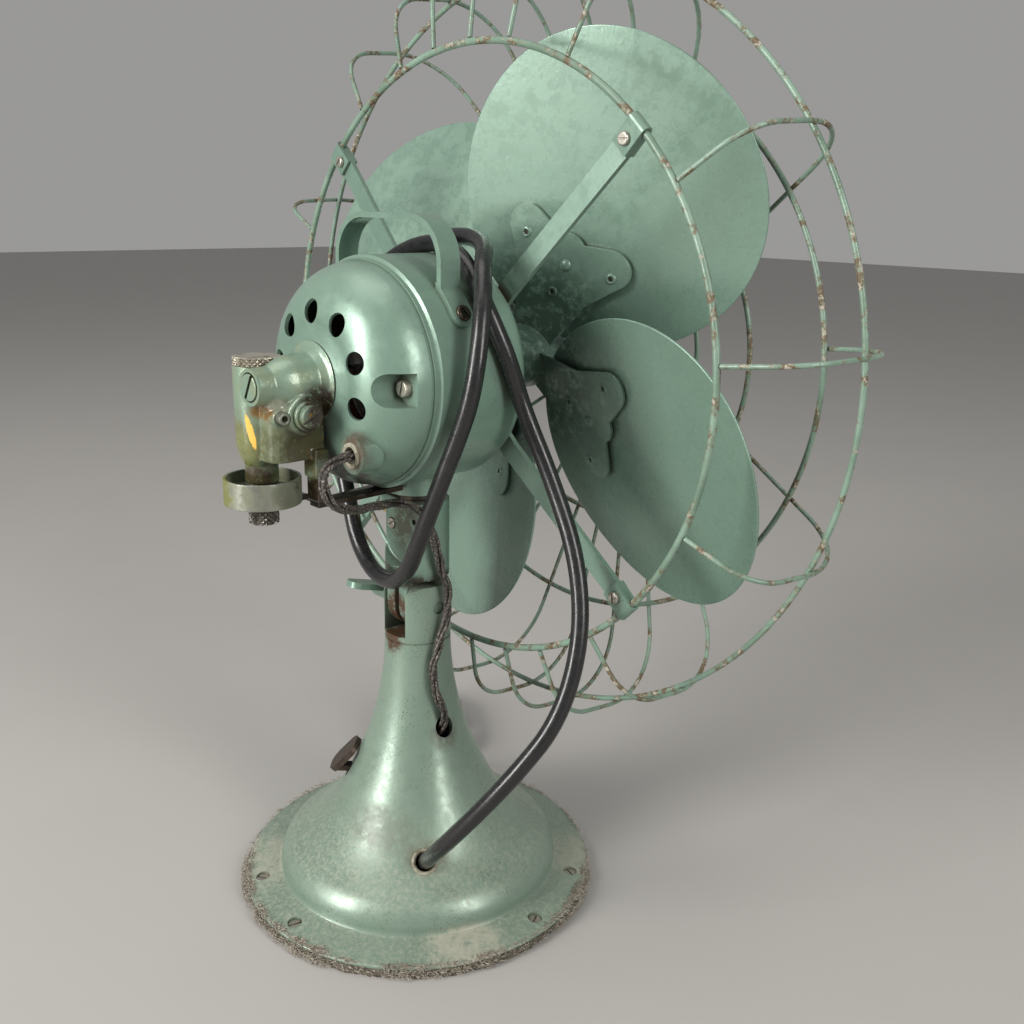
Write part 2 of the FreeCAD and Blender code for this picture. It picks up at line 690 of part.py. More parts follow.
def fan_arm():
    lobe = 9.5
    lobe_radius = 65.0
    low = blade_plane - 40
    high = blade_plane + 40
    spots = [(lobe_radius, 19.5), (lobe_radius, -19.5), (lobe_radius * 0.9, 0)]
    shapes = []
    for radius, angle in spots:
        x, z = around(radius, angle)
        shapes.append(cylinder(lobe, (x, low, head_height + z), (x, high, head_height + z)))
    x, z = around(lobe_radius, 19.5)
    corners = [
        (8, -9), (0.62 * x, -0.62 * z - 4), (x - 4, -z - 8.6), (x + 8.6, -z + 4),
        (x + 2, 0), (x + 8.6, z - 4), (x - 4, z + 8.6), (0.62 * x, 0.62 * z + 4), (8, 9),
    ]
    web = outline(corners, lambda u, v: vector(u, low, head_height + v)).extrude(vector(0, high - low, 0))
    shapes.append(web)
    inner = blade_thickness / 2 + 0.03
    return fuse(shapes).common(camber_shell(inner, inner + arm_thickness))


def fan_hub():
    core = cylinder(hub_radius, (0, blade_plane - 14, head_height), (0, blade_plane + 18, head_height))
    shapes = [core]
    arm = fan_arm()
    for i in range(blade_count):
        shapes.append(clocked(arm, blade_first_angle + i * 360 / blade_count))
    hub = fuse(shapes)
    return hub.cut(cylinder(shaft_radius + seat, (0, -200, head_height), (0, 0, head_height)))


def fan_pieces():
    one = blade()
    for i in range(blade_count):
        save("blade_" + str(i + 1), clocked(one, blade_first_angle + i * 360 / blade_count))
    save("fan_hub", fan_hub())
    shaft = cylinder(shaft_radius, (0, blade_plane - 13, head_height), (0, bell_rear + 1, head_height))
    worm = cylinder(worm_radius, (0, bell_rear + 1, head_height), (0, barrel_end - 4, head_height))
    save("rotor_shaft", fuse([shaft, worm]))
    save("rotor_core", tube(27.4, shaft_radius + seat, (0, -14, head_height), (0, 18, head_height)))


# ---------------------------------------------------------------- guard

def guard_wire(full):
    reach = wire_radius + ring_wire_radius + seat
    crown = guard_radius + reach
    last = front_rings[2][1] * guard_radius
    first = front_rings[0][1] * guard_radius
    points = [
        (rear_ring_y, rear_ring_radius + rear_wire_radius + 0.1),
        (rear_ring_y - 4.4, crown - 4.4),
        (rear_ring_y - 71.6, crown + 3.8),
        (-134.0, 0.507 * guard_radius),
        (front_rings[2][0] - reach - 0.2, last - 3),
    ]
    radii = [22, 30, 40]
    if not full:
        share = (points[2][1] - first + 3) / (points[2][1] - points[3][1])
        end_y = points[2][0] + share * (points[3][0] - points[2][0])
        points = points[:3] + [(end_y, first - 3)]
        radii = radii[:2]
    path = filleted_run(points, radii, lambda y, radius: vector(radius, y, head_height))
    return flat_sided_wire(path, wire_radius, vector(0, 0, 1), wire_sides)


def guard_angles():
    """Clock angles of the guard's wires. The two level ones stop at the first front ring."""
    full = []
    for centre in (90, 270):
        for offset in (5, 15, 29.5):
            full.extend([centre + guard_roll - offset, centre + guard_roll + offset])
    for centre in (0, 180):
        full.extend([centre + guard_roll - 29.5, centre + guard_roll + 29.5])
    return full, [guard_roll, 180 + guard_roll]


def strut():
    face = shell_front - 7.0 - seat
    tip = rear_ring_radius - rear_wire_radius - 0.1
    half = strut_thickness / 2
    bend = motor_radius + 1
    profile = outline([
        (30, face), (bend, face), (tip - 9, rear_ring_y + half), (tip, rear_ring_y + half),
        (tip, rear_ring_y - half), (tip - 9, rear_ring_y - half), (bend, face - 2 * half), (30, face - 2 * half),
    ], lambda radius, y: vector(radius, y, head_height - strut_width / 2))
    bar = profile.extrude(vector(0, 0, strut_width))
    low = head_height - strut_width / 2
    high = head_height + strut_width / 2
    grip = rear_wire_radius + 0.12
    clip = fuse([
        box((tip - 10, rear_ring_y - grip - 1.1, low), (rear_ring_radius, rear_ring_y + grip + 1.1, high)),
        cylinder(grip + 1.1, (rear_ring_radius, rear_ring_y, low), (rear_ring_radius, rear_ring_y, high)),
    ])
    channel = cylinder(grip, (rear_ring_radius, rear_ring_y, low - 1), (rear_ring_radius, rear_ring_y, high + 1))
    return fuse([bar, clip]).cut(channel)


def guard_pieces():
    full, short = guard_angles()
    long_wire = guard_wire(True)
    short_wire = guard_wire(False)
    wires = [clocked(long_wire, angle) for angle in full]
    wires.extend(clocked(short_wire, angle) for angle in short)
    save("guard_wires", Part.makeCompound(wires))
    save("guard_rear_ring", flat_sided_ring(rear_ring_y, rear_ring_radius, rear_wire_radius))
    save("guard_outer_ring", flat_sided_ring(outer_ring_y, guard_radius + 0.4, ring_wire_radius))
    rings = [flat_sided_ring(y, share * guard_radius, ring_wire_radius) for y, share in front_rings]
    save("guard_front_rings", Part.makeCompound(rings))
    one = strut()
    save("guard_struts", Part.makeCompound([clocked(one, angle) for angle in strut_angles]))
    start = rear_ring_y + rear_wire_radius + 1.25
    at = rear_ring_radius - 7
    screw = cylinder(2.8, (at, start, head_height), (at, start + 1.8, head_height))
    save("guard_screws", Part.makeCompound([clocked(screw, angle) for angle in strut_angles]))


# ---------------------------------------------------------------- cords

def cord(points, diameter):
    """Straight runs joined by arcs, flat-sided with a round cord's area."""
    radii = []
    for i in range(1, len(points) - 1):
        before = vector(*points[i - 1]) - vector(*points[i])
        after = vector(*points[i + 1]) - vector(*points[i])
        half = before.getAngle(after) / 2
        radii.append(0.45 * min(before.Length, after.Length) * math.tan(half))
    path = filleted_run(points, radii, vector)
    along = vector(*points[1]) - vector(*points[0])
    side = along.cross(vector(0, 0, 1)).normalize()
    share = math.tau / cord_sides
    corner = diameter / 2 * math.sqrt(share / math.sin(share))
    return flat_sided_wire(path, corner, side, cord_sides)


def hank_spot(along, across, height):
    """A point by its distance out along the hank's line and to the side of it."""
    cos, sin = math.cos(hank_heading), math.sin(hank_heading)
    return (along * cos - across * sin, along * sin + across * cos, height)


riser = [
    eyelet_line(-12, 0)[0], eyelet_line(0, 15.3)[1], (-73, 33, 70.6), (-90.7, 20, 98.3),
    (-100.4, 3, 123.1), (-99.7, -10, 156.5), (-94.9, -13, 172.9),
]
wrap = [
    (-94.9, -13, 172.9), (-90.2, -16, 189.2), (-71.4, -18, 220.9), (-56.2, -13.5, 252),
    (-55.8, -5.5, 273), (-48.6, 1, 294), (-30, -4, 312.5), (-5, -11, 320), (22, -12, 315.8),
    (43, -7, 301), (55.5, -1, 278), (57.5, 7, 253), (50.5, 12, 231), (40, 14.5, 211),
    (31.5, 16.5, 193), (22.5, 19, 177), (6.5, 22, 166.5), (-12, 25, 166.5), (-27.5, 28, 177),
    (-36.5, 29.5, 192), (-43.5, 28.5, 208), (-49.5, 26, 225), (-55, 23, 241), (-60.5, 20.3, 259), (-61.5, 17, 280),
    (-55, 9, 299.5), (-44.5, 0, 312), (-31, -14, 319), (-12, -22, 322.5), (12, -23, 320.5),
    (36, -20.5, 308.5), (52.5, -16, 287), (58, -10.5, 262), (53, -6, 237), (41, -7, 215),
    (27, -12, 196), (16, -17.5, 179), (13.5, -18.2, 168),
]
drop = [
    (13.5, -18.2, 168), (11, -18.9, 157), (10.6, -18.7, 136), (13.5, -19.5, 114),
    (18.5, -22.6, 93), (25, -27.5, 74), (34, -35.5, 56), (45.5, -46.5, 39.5), (60, -57, 28.5),
    hank_spot(100.8, 2.5, 22.5), hank_spot(112.5, 10.3, 18.0), hank_spot(122.0, 14.9, 17.1),
]
wires_high = [
    (-27, bell_rear - 6, gland_z), (-28, bell_rear + 8, gland_z), (-32, bell_rear + 19, gland_z - 4),
    (-34.5, bell_rear + 17.5, gland_z - 16), (-30, bell_rear + 4, gland_z - 23), (-24.5, 47, 210),
    (-19.5, 34, 208.5), (-17, 21, 206.5), (-18, 10.5, 199), (-19.3, 6, 187), (-19.7, 4.5, 180),
]
wires_low = [
    (-19.7, 4.5, 180), (-20.2, 2, 170), (-20.6, -2.5, 158), (-20.4, -1, 145), (-20, 4, 131),
    (-19.8, 7.8, 118), (-22.6, 6.2, 106), (-25.4, 3.6, 97), (-22.7, 1.7, 88.5), (-15, 0.8, 81),
]


def fold(centre, angles, height):
    """Corners of a fold about a point on the hank's line, 0 being its far side."""
    out = hank_radius / math.cos(math.radians(hank_corner / 2))
    spots = []
    for angle in angles:
        along, across = around(out, angle)
        spots.append(hank_spot(centre + along, across, height))
    return spots


def hank_points():
    """A turn that comes down along its last run, and a second turn under it."""
    low = cord_diameter / 2 + 0.25
    high = low + cord_diameter + 0.95
    middle = (hank_near + hank_far) / 2
    side = hank_radius + 0.4
    away = [1.5 * hank_corner, 0.5 * hank_corner, -0.5 * hank_corner, -1.5 * hank_corner]
    back = [angle - 180 for angle in away]
    spots = [drop[-1]]
    spots.append(hank_spot(hank_far - 20.5, hank_radius - 5.7, high + 3.3))
    spots.append(hank_spot(hank_far - 10.8, hank_radius - 0.9, high + 2.3))
    spots.extend(fold(hank_far, away, high))
    spots.append(hank_spot(middle, -side, high))
    spots.extend(fold(hank_near, back, high))
    spots.append(hank_spot(middle, side, (low + high) / 2))
    last = -2.5 * hank_corner
    spots.extend(fold(hank_far, away + [last], low))
    x, y = around(14, math.degrees(hank_heading) + 150)
    spots.append((spots[-1][0] + x, spots[-1][1] + y, low))
    return spots


def power_plug():
    spots = hank_points()
    end = vector(*spots[-1])
    ahead = (end - vector(*spots[-2])).normalize()
    bottom = -cord_diameter / 2
    grip = box((0, -9.5, bottom), (24, 9.5, bottom + 8.3))
    edges = [edge for edge in grip.Edges if edge.BoundBox.ZLength > 5]
    grip = grip.makeFillet(5.0, edges)
    pins = [box((23, side * 6.0 - 0.8, -2.4), (37, side * 6.0 + 0.8, 3.9)) for side in (-1, 1)]
    plug = fuse([grip] + pins)
    plug.rotate(vector(0, 0, 0), vector(0, 0, 1), math.degrees(math.atan2(ahead.y, ahead.x)))
    plug.translate(end)
    return plug


def parted(points):
    """The same route from a hair further on, clear of the piece before it."""
    first, second = vector(*points[0]), vector(*points[1])
    start = first + (second - first).normalize() * side_gap
    return [(start.x, start.y, start.z)] + points[1:]


def cord_pieces():
    save("power_cord_riser", cord(riser, cord_diameter))
    save("power_cord_wrap", cord(parted(wrap), cord_diameter))
    save("power_cord_drop", cord(parted(drop), cord_diameter))
    save("power_cord_coil", cord(hank_points(), cord_diameter))
    save("power_plug", power_plug())
    save("head_wires_high", cord(wires_high, wire_bundle))
    save("head_wires_low", cord(parted(wires_low), wire_bundle))


def main():
    os.makedirs("parts", exist_ok=True)
    base_pieces()
    save("switch_lever", switch_lever())
    save("wing_screw", wing_screw())
    yoke_pieces()
    motor_pieces()
    gear_pieces()
    save("crank_cup", crank_cup())
    save("thumb_screw", thumb_screw())
    save("link", link())
    fan_pieces()
    guard_pieces()
    cord_pieces()


main()
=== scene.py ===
import math
import random

import bmesh
import bpy
from mathutils import Matrix, Vector, noise


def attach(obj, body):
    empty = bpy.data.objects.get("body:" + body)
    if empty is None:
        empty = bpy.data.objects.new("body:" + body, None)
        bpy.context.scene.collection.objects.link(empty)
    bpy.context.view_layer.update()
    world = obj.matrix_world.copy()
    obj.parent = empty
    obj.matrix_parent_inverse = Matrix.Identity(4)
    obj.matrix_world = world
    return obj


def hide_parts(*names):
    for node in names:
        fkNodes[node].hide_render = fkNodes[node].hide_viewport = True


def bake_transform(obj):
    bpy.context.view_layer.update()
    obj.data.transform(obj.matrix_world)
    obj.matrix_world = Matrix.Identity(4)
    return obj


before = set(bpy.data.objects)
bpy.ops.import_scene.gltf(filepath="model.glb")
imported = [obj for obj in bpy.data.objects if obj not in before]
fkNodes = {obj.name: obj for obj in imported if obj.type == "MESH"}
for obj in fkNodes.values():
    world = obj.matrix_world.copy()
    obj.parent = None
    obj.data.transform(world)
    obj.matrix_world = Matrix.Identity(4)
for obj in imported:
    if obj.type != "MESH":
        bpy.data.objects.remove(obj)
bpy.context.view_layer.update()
scene = bpy.context.scene
headHeight = 263.0
rotorCentre = Vector((0, 0, 0.263))
tiltHeight = 149.0


def mm(x, y, z):
    return Vector((x, y, z)) * 0.001


def around(radius, angle):
    turn = math.radians(angle)
    return radius * math.cos(turn), radius * math.sin(turn)


def lean(centre, axis, roll=0.0):  # stands a shape built along z on an axis
    turn = Vector(axis).to_track_quat("Z", "Y").to_matrix().to_4x4()
    return Matrix.Translation(centre) @ turn @ Matrix.Rotation(math.radians(roll), 4, "Z")


def clock(angle):  # a turn about the rotor axis, 0 toward +x and 90 up
    back = Matrix.Translation(-rotorCentre)
    return Matrix.Translation(rotorCentre) @ Matrix.Rotation(-math.radians(angle), 4, "Y") @ back


# Finishes

class Finish:  # a material with the steps that build its pattern on object coordinates
    def __init__(self, name, colour, roughness, metallic=0.0):
        self.material = bpy.data.materials.new(name)
        self.material.use_nodes = True
        self.tree = self.material.node_tree
        self.inputs = self.tree.nodes["Principled BSDF"].inputs
        self.inputs["Base Color"].default_value = (*colour, 1)
        self.inputs["Roughness"].default_value = roughness
        self.inputs["Metallic"].default_value = metallic
        self.place = self.tree.nodes.new("ShaderNodeTexCoord").outputs["Object"]

    def add(self, kind, **sockets):
        node = self.tree.nodes.new("ShaderNode" + kind)
        for name, value in sockets.items():
            self.give(node.inputs[name], value)
        return node

    def give(self, socket, value):  # a link, a colour or a number
        if isinstance(value, bpy.types.NodeSocket):
            self.tree.links.new(value, socket)
        elif isinstance(value, tuple) and socket.type == "RGBA":
            socket.default_value = (*value, 1)
        else:
            socket.default_value = value

    def drive(self, name, value):
        self.tree.links.new(value, self.inputs[name])

    def oval(self, middle, size, turn=(0, 0, 0)):  # 1 at the middle of an oval patch, 0 at its edge
        spot = self.add("Mapping", Location=mm(*middle), Rotation=turn, Scale=mm(*size), Vector=self.place)
        spot.vector_type = "TEXTURE"
        ball = self.add("TexGradient", Vector=spot.outputs["Vector"])
        ball.gradient_type = "SPHERICAL"
        return ball.outputs["Fac"]

    def grain(self, scale, detail=4.0, roughness=0.6, distortion=0.0):
        return self.add("TexNoise", Scale=scale, Detail=detail, Roughness=roughness, Distortion=distortion,
                        Vector=self.place).outputs[0]

    def patch(self, value, low, high, least=0.0, most=1.0):
        node = self.add("MapRange")
        node.interpolation_type = "SMOOTHSTEP"
        for index, number in enumerate((value, low, high, least, most)):
            self.give(node.inputs[index], number)
        return node.outputs["Result"]

    def combine(self, first, second, operation="MULTIPLY"):
        node = self.add("Math")
        node.operation = operation
        node.use_clamp = True
        self.give(node.inputs[0], first)
        self.give(node.inputs[1], second)
        return node.outputs[0]

    def tint(self, amount, first, second):
        node = self.add("Mix")
        node.data_type = "RGBA"
        for index, value in ((0, amount), (6, first), (7, second)):
            self.give(node.inputs[index], value)
        return node.outputs[2]

    # ambient occlusion mask: the colours it drives are painted shade in corners and gaps
    def cornerShade(self, reach, low, high):  # 1 in corners and gaps, 0 in the open
        node = self.add("AmbientOcclusion", Distance=reach)
        node.samples = 6
        return self.patch(node.outputs["AO"], low, high, 1.0, 0.0)

    def split(self, vector, axis):
        return self.add("SeparateXYZ", Vector=vector).outputs[axis]

    def facing(self, axis):  # how far the surface faces along a row axis
        return self.split(self.add("NewGeometry").outputs["Normal"], axis)

    def ripple(self, height, strength, distance):
        node = self.add("Bump", Strength=strength, Distance=distance, Height=height)
        self.drive("Normal", node.outputs["Normal"])

    def stainsAndShade(self, marks, edges, colour, cover):  # a mark is its middle, reach, colour and strength; some marks are painted shade
        for middle, reach, stain, strength in marks:
            mark = self.combine(self.patch(self.oval(middle, reach), 0.0, 0.6), edges)
            colour = self.tint(self.combine(mark, strength), colour, stain)
            cover = self.combine(cover, self.combine(mark, 0.5), "ADD")
        return colour, cover

    def coat(self, weight, roughness):
        self.inputs["Coat Weight"].default_value = weight
        self.inputs["Coat Roughness"].default_value = roughness


sage = (0.180, 0.290, 0.228)
sageDeep = (0.132, 0.226, 0.176)
# brown of the painted corner shade and grime
shadeAndGrimeBrown = (0.070, 0.056, 0.036)
rustBrown = (0.130, 0.052, 0.018)
paleDust = (0.36, 0.35, 0.28)
darkDirt = (0.085, 0.080, 0.058)
# near black of old oil, also used for painted shade
oilAndShadeBlack = (0.026, 0.021, 0.013)
enamelLooks = {
    "baseEnamel": {
        "dust": 0.60, "specks": 0.95, "chips": 0.6, "shadeAndGrime": 0.7, "gloss": 0.33, "rust": 0.3, "grey": 0.38,
        "mottle": 0.9, "marks": [
            ((-74, 32, 6), (30, 24, 8), paleDust, 0.75),
            ((48, 66, 6), (34, 26, 8), paleDust, 0.55),
            ((-60, -58, 6), (26, 26, 8), paleDust, 0.5),
            ((-18, 39, 45), (30, 22, 13), darkDirt, 0.38),
            ((-42, 29, 36), (13, 13, 10), (0.14, 0.105, 0.065), 0.7),
            ((-21, 2, 84), (9, 10, 11), darkDirt, 0.8),
            ((0, 0, 136), (10, 40, 16), (0.060, 0.028, 0.012), 1.6),
        ]},
    "motorEnamel": {
        "dust": 0.12, "specks": 0.28, "chips": 0.4, "shadeAndGrime": 0.9, "gloss": 0.31, "rust": 0.2, "grey": 0.08,
        "mottle": 0.4, "marks": [
            ((-27, 56, 236), (12, 10, 12), (0.085, 0.050, 0.030), 0.9),
            ((-6, 50, 222), (28, 30, 16), oilAndShadeBlack, 0.9),
        ]},
    "bladeEnamel": {
        "dust": 0.08, "specks": 0.18, "chips": 0.3, "shadeAndGrime": 0.5, "gloss": 0.26, "rust": 0.1, "grey": 0.08,
        "mottle": 0.25, "marks": [
            # painted shade: darker green over the blades' inner part round the hub, where the motor shades
            # them
            ((0, -71, 263), (75, 50, 75), (0.045, 0.085, 0.065), 1.0),
        ]},
    "neckEnamel": {
        "dust": 0.25, "specks": 0.65, "chips": 0.9, "shadeAndGrime": 1.2, "gloss": 0.33, "rust": 0.6, "grey": 0.08,
        "mottle": 0.8, "marks": [
            ((-2, 14, 190), (18, 12, 26), (0.060, 0.068, 0.042), 1.0),
            # painted shadow under the yoke: a dark band along its underside
            ((0, 0, 163), (30, 30, 6), oilAndShadeBlack, 1.2),
            ((0, 12, 146), (12, 20, 14), (0.060, 0.028, 0.012), 1.2),
        ]},
}


def enamel(name, look):
    f = Finish(name, sage, look["gloss"], 0.30)
    colour = f.tint(f.patch(f.grain(17, 5, 0.65), 0.35, 0.7, 0, look["mottle"]), sage, sageDeep)
    colour = f.tint(look["grey"], colour, (0.235, 0.265, 0.215))
    where = f.grain(45, 5, 0.7)
    specks = f.combine(f.patch(f.grain(1500, 2, 0.5), 0.57, 0.66), f.patch(where, 0.42, 0.68, 0.1, 1))
    colour = f.tint(f.combine(specks, look["specks"]), colour, (0.075, 0.085, 0.058))
    top = f.combine(f.patch(f.facing("Z"), 0.25, 0.95), look["dust"])
    dust = f.combine(top, f.patch(f.grain(520, 6, 0.75), 0.40, 0.66))
    colour = f.tint(dust, colour, (0.34, 0.35, 0.27))
    ragged = f.patch(f.grain(190, 7, 0.75), 0.36, 0.56, 0.25, 1.2)
    colour, dust = f.stainsAndShade(look["marks"], ragged, colour, dust)
    # painted shade: ambient occlusion darkens corners and gaps toward brown, its strength broken up by noise
    # as grime
    cornerShadeAndGrime = f.combine(f.cornerShade(0.007, 0.25, 0.85), f.patch(where, 0.25, 0.75, 0.35, 1))
    cornerShadeAndGrime = f.combine(cornerShadeAndGrime, look["shadeAndGrime"])
    colour = f.tint(cornerShadeAndGrime, colour, shadeAndGrimeBrown)
    spots = f.combine(f.patch(f.grain(330, 7, 0.72), 0.675, 0.70), look["chips"])
    colour = f.tint(spots, colour, rustBrown)
    stain = f.combine(f.patch(f.grain(60, 8, 0.75, 0.6), 0.62, 0.74), look["rust"])
    f.drive("Base Color", f.tint(stain, colour, (0.16, 0.135, 0.075)))
    f.drive("Metallic", f.patch(f.combine(dust, cornerShadeAndGrime, "ADD"), 0, 1, 0.30, 0))
    worn = f.patch(f.grain(140, 6, 0.7), 0.3, 0.75, look["gloss"] - 0.05, look["gloss"] + 0.14)
    f.drive("Roughness", f.combine(worn, f.combine(dust, 0.3), "ADD"))
    f.coat(0.20, 0.22)
    f.ripple(f.combine(f.grain(420, 3, 0.5), f.combine(spots, 0.5), "SUBTRACT"), 0.22, 0.00022)
    return f.material


def wireEnamel(name):  # guard wires: thin enamel worn through to rust and bright steel
    f = Finish(name, sage, 0.34)
    colour = f.tint(f.patch(f.grain(34, 4, 0.6), 0.35, 0.7), (0.20, 0.30, 0.235), (0.12, 0.19, 0.14))
    worn = f.patch(f.grain(90, 8, 0.72), 0.49, 0.58)
    colour = f.tint(worn, colour, (0.115, 0.085, 0.045))
    bare = f.combine(worn, f.patch(f.grain(420, 5, 0.6), 0.52, 0.60))
    colour = f.tint(bare, colour, (0.36, 0.34, 0.28))
    # painted shade: ambient occlusion darkens the wires toward a dark rust brown where they meet the rings
    f.drive("Base Color", f.tint(f.cornerShade(0.003, 0.2, 0.7), colour, (0.05, 0.03, 0.014)))
    f.drive("Roughness", f.patch(worn, 0, 1, 0.30, 0.62))
    f.ripple(f.combine(f.grain(700, 4, 0.6), f.combine(worn, 0.6), "SUBTRACT"), 0.4, 0.0002)
    return f.material


strokeStart, strokeEnd = Vector((6.15, 85.6, 250.2)), Vector((3.13, 83.1, 233.8))  # on the case's front
caseStainsAndShade = [
    ((-1, 76, 254), (11, 10, 8), (0.33, 0.31, 0.24), 0.8),
    # dark oil with painted shade beside the side plug
    ((-13, 62, 250), (13, 13, 18), oilAndShadeBlack, 1.3),
    ((-4, 66, 236), (16, 18, 14), (0.050, 0.048, 0.022), 1.1),
    ((12, 87, 236), (14, 12, 14), (0.17, 0.18, 0.055), 0.7),
    ((-1, 82, 252), (9, 9, 4.2), (0.150, 0.082, 0.020), 1.0),
    ((6, 83, 223), (12, 12, 7), (0.045, 0.036, 0.018), 1.0),
    # darkest at the case's underside by the bell: painted shade with oil
    ((-12, 57, 213), (16, 14, 14), (0.022, 0.011, 0.006), 2.2),
]


def oilyCasting(name):  # gear case: enamel under old oil, with painted shade towards the bottom and in the seams, and a wax crayon stroke
    f = Finish(name, sage, 0.28, 0.25)
    where = f.grain(80, 6, 0.72, 0.5)
    fine = f.grain(330, 7, 0.7)
    colour = f.tint(f.patch(where, 0.40, 0.66), (0.195, 0.290, 0.220), (0.230, 0.290, 0.190))
    # darker olive towards the bottom of the case: old oil with painted shade
    low = f.patch(f.split(f.place, "Z"), 0.236, 0.259, 1.0, 0.0)
    oilAndShade = f.combine(low, f.patch(where, 0.36, 0.58, 0.25, 1.3))
    colour = f.tint(oilAndShade, colour, (0.082, 0.094, 0.042))
    blotch = f.combine(low, f.patch(f.grain(210, 6, 0.7), 0.47, 0.56))
    colour = f.tint(f.combine(blotch, 0.7), colour, (0.155, 0.185, 0.110))
    colour, oilAndShade = f.stainsAndShade(caseStainsAndShade, f.patch(fine, 0.34, 0.54, 0.3, 1.2), colour, oilAndShade)
    # painted shade: ambient occlusion darkens the seams toward dark brown, broken up by noise as grime
    seamShadeAndGrime = f.combine(f.cornerShade(0.006, 0.30, 0.85), f.patch(fine, 0.3, 0.6, 0.5, 1))
    colour = f.tint(seamShadeAndGrime, colour, (0.036, 0.023, 0.009))
    amber = f.combine(f.patch(f.grain(150, 7, 0.7), 0.61, 0.67), f.patch(oilAndShade, 0.1, 0.6))
    colour = f.tint(amber, colour, (0.17, 0.095, 0.018))
    line = strokeEnd - strokeStart
    streak = f.oval(strokeStart.lerp(strokeEnd, 0.42), (2.1, 2.1, line.length * 0.62),
                    line.to_track_quat("Z", "Y").to_euler())
    rubbed = f.combine(f.grain(620, 5, 0.65), 0.50)
    stroke = f.patch(f.combine(streak, rubbed, "SUBTRACT"), 0.0, 0.10)
    f.drive("Base Color", f.tint(stroke, colour, (0.74, 0.45, 0.075)))
    f.drive("Roughness", f.combine(f.patch(oilAndShade, 0.1, 0.9, 0.30, 0.22), f.combine(stroke, 0.4), "ADD"))
    f.drive("Metallic", f.patch(oilAndShade, 0, 0.7, 0.25, 0))
    f.coat(0.35, 0.12)
    f.ripple(f.grain(330, 6, 0.62), 0.40, 0.0006)
    return f.material


def metal(name, colour, dirtAndShadeColour, roughness, dirtAndShadeAmount=0.6, scale=160, reach=0.003, marks=()):
    f = Finish(name, colour, roughness, 0.9)
    where = f.grain(scale, 7, 0.7)
    soiledAndShaded = f.combine(f.patch(where, 0.42, 0.62), dirtAndShadeAmount)
    # painted shade: ambient occlusion darkens corners and recesses toward the dirt colour
    soiledAndShaded = f.combine(soiledAndShaded, f.combine(f.cornerShade(reach, 0.3, 0.9), dirtAndShadeAmount), "ADD")
    mixed = f.tint(soiledAndShaded, colour, dirtAndShadeColour)
    for middle, size, stain, strength in marks:
        mark = f.combine(f.patch(f.oval(middle, size), 0.0, 0.5), f.patch(where, 0.36, 0.55, 0.3, 1.2))
        mark = f.combine(mark, strength)
        mixed = f.tint(mark, mixed, stain)
        soiledAndShaded = f.combine(soiledAndShaded, mark, "ADD")
    f.drive("Base Color", mixed)
    f.drive("Metallic", f.patch(soiledAndShaded, 0, 1, 0.95, 0.15))
    f.drive("Roughness", f.patch(soiledAndShaded, 0, 1, roughness, roughness + 0.3))
    f.ripple(f.grain(900, 5, 0.6), 0.35, 0.00015)
    return f.material


def soft(name, colour, second, roughness, scale, depth, contrast=(0.35, 0.65)):
    f = Finish(name, colour, roughness)
    where = f.grain(scale, 6, 0.7)
    f.drive("Base Color", f.tint(f.patch(where, *contrast), colour, second))
    f.drive("Roughness", f.patch(where, 0.2, 0.8, roughness - 0.06, roughness + 0.12))
    f.ripple(f.grain(scale * 3, 4, 0.6), 0.5, depth)
    return f.material


def cordRubber(name):
    f = Finish(name, (0.012, 0.012, 0.013), 0.25)
    dust = f.combine(f.patch(f.grain(130, 8, 0.75), 0.48, 0.78), 0.16)
    dust = f.combine(dust, f.patch(f.facing("Z"), -0.2, 0.9, 0.35, 1))
    f.drive("Base Color", f.tint(dust, (0.0115, 0.0115, 0.0125), (0.13, 0.125, 0.115)))
    f.drive("Roughness", f.patch(f.grain(300, 5, 0.6), 0.3, 0.7, 0.20, 0.34))
    f.ripple(f.grain(260, 5, 0.6), 0.25, 0.0003)
    return f.material


cupMarks = [((18, 92, 216), (14, 14, 15), (0.150, 0.160, 0.050), 1.1),
            ((11, 76.5, 216.5), (15.8, 15.8, 12), (0.055, 0.058, 0.035), 1.6)]
metalLooks = {  # colour, colour of dirt and painted corner shade, roughness, amount of dirt and painted shade, scale of the dirt, reach of the painted corner shade, marks
    "screwSteel": ((0.52, 0.50, 0.44), (0.10, 0.085, 0.05), 0.33),
    "cupSteel": ((0.33, 0.345, 0.30), (0.12, 0.13, 0.07), 0.34, 0.75, 90, 0.009, cupMarks),
    "knurlSteel": ((0.62, 0.58, 0.48), (0.040, 0.026, 0.014), 0.34, 0.85, 220, 0.0011),
    "oilySteel": ((0.075, 0.062, 0.048), (0.020, 0.013, 0.008), 0.30, 0.8, 120),
    "brightSteel": ((0.60, 0.60, 0.58), (0.16, 0.14, 0.10), 0.24, 0.35),
    "oldBrass": ((0.60, 0.43, 0.16), (0.16, 0.10, 0.04), 0.30, 0.5),
    "leverSteel": ((0.105, 0.080, 0.066), (0.040, 0.026, 0.018), 0.40, 0.8, 150),
    "blackSteel": ((0.26, 0.24, 0.21), (0.010, 0.008, 0.006), 0.34, 0.95, 260, 0.0011),
    "copper": ((0.16, 0.060, 0.028), (0.020, 0.010, 0.006), 0.38, 0.9),
    "sheetSteel": ((0.10, 0.10, 0.10), (0.10, 0.08, 0.06), 0.45, 0.6),
}
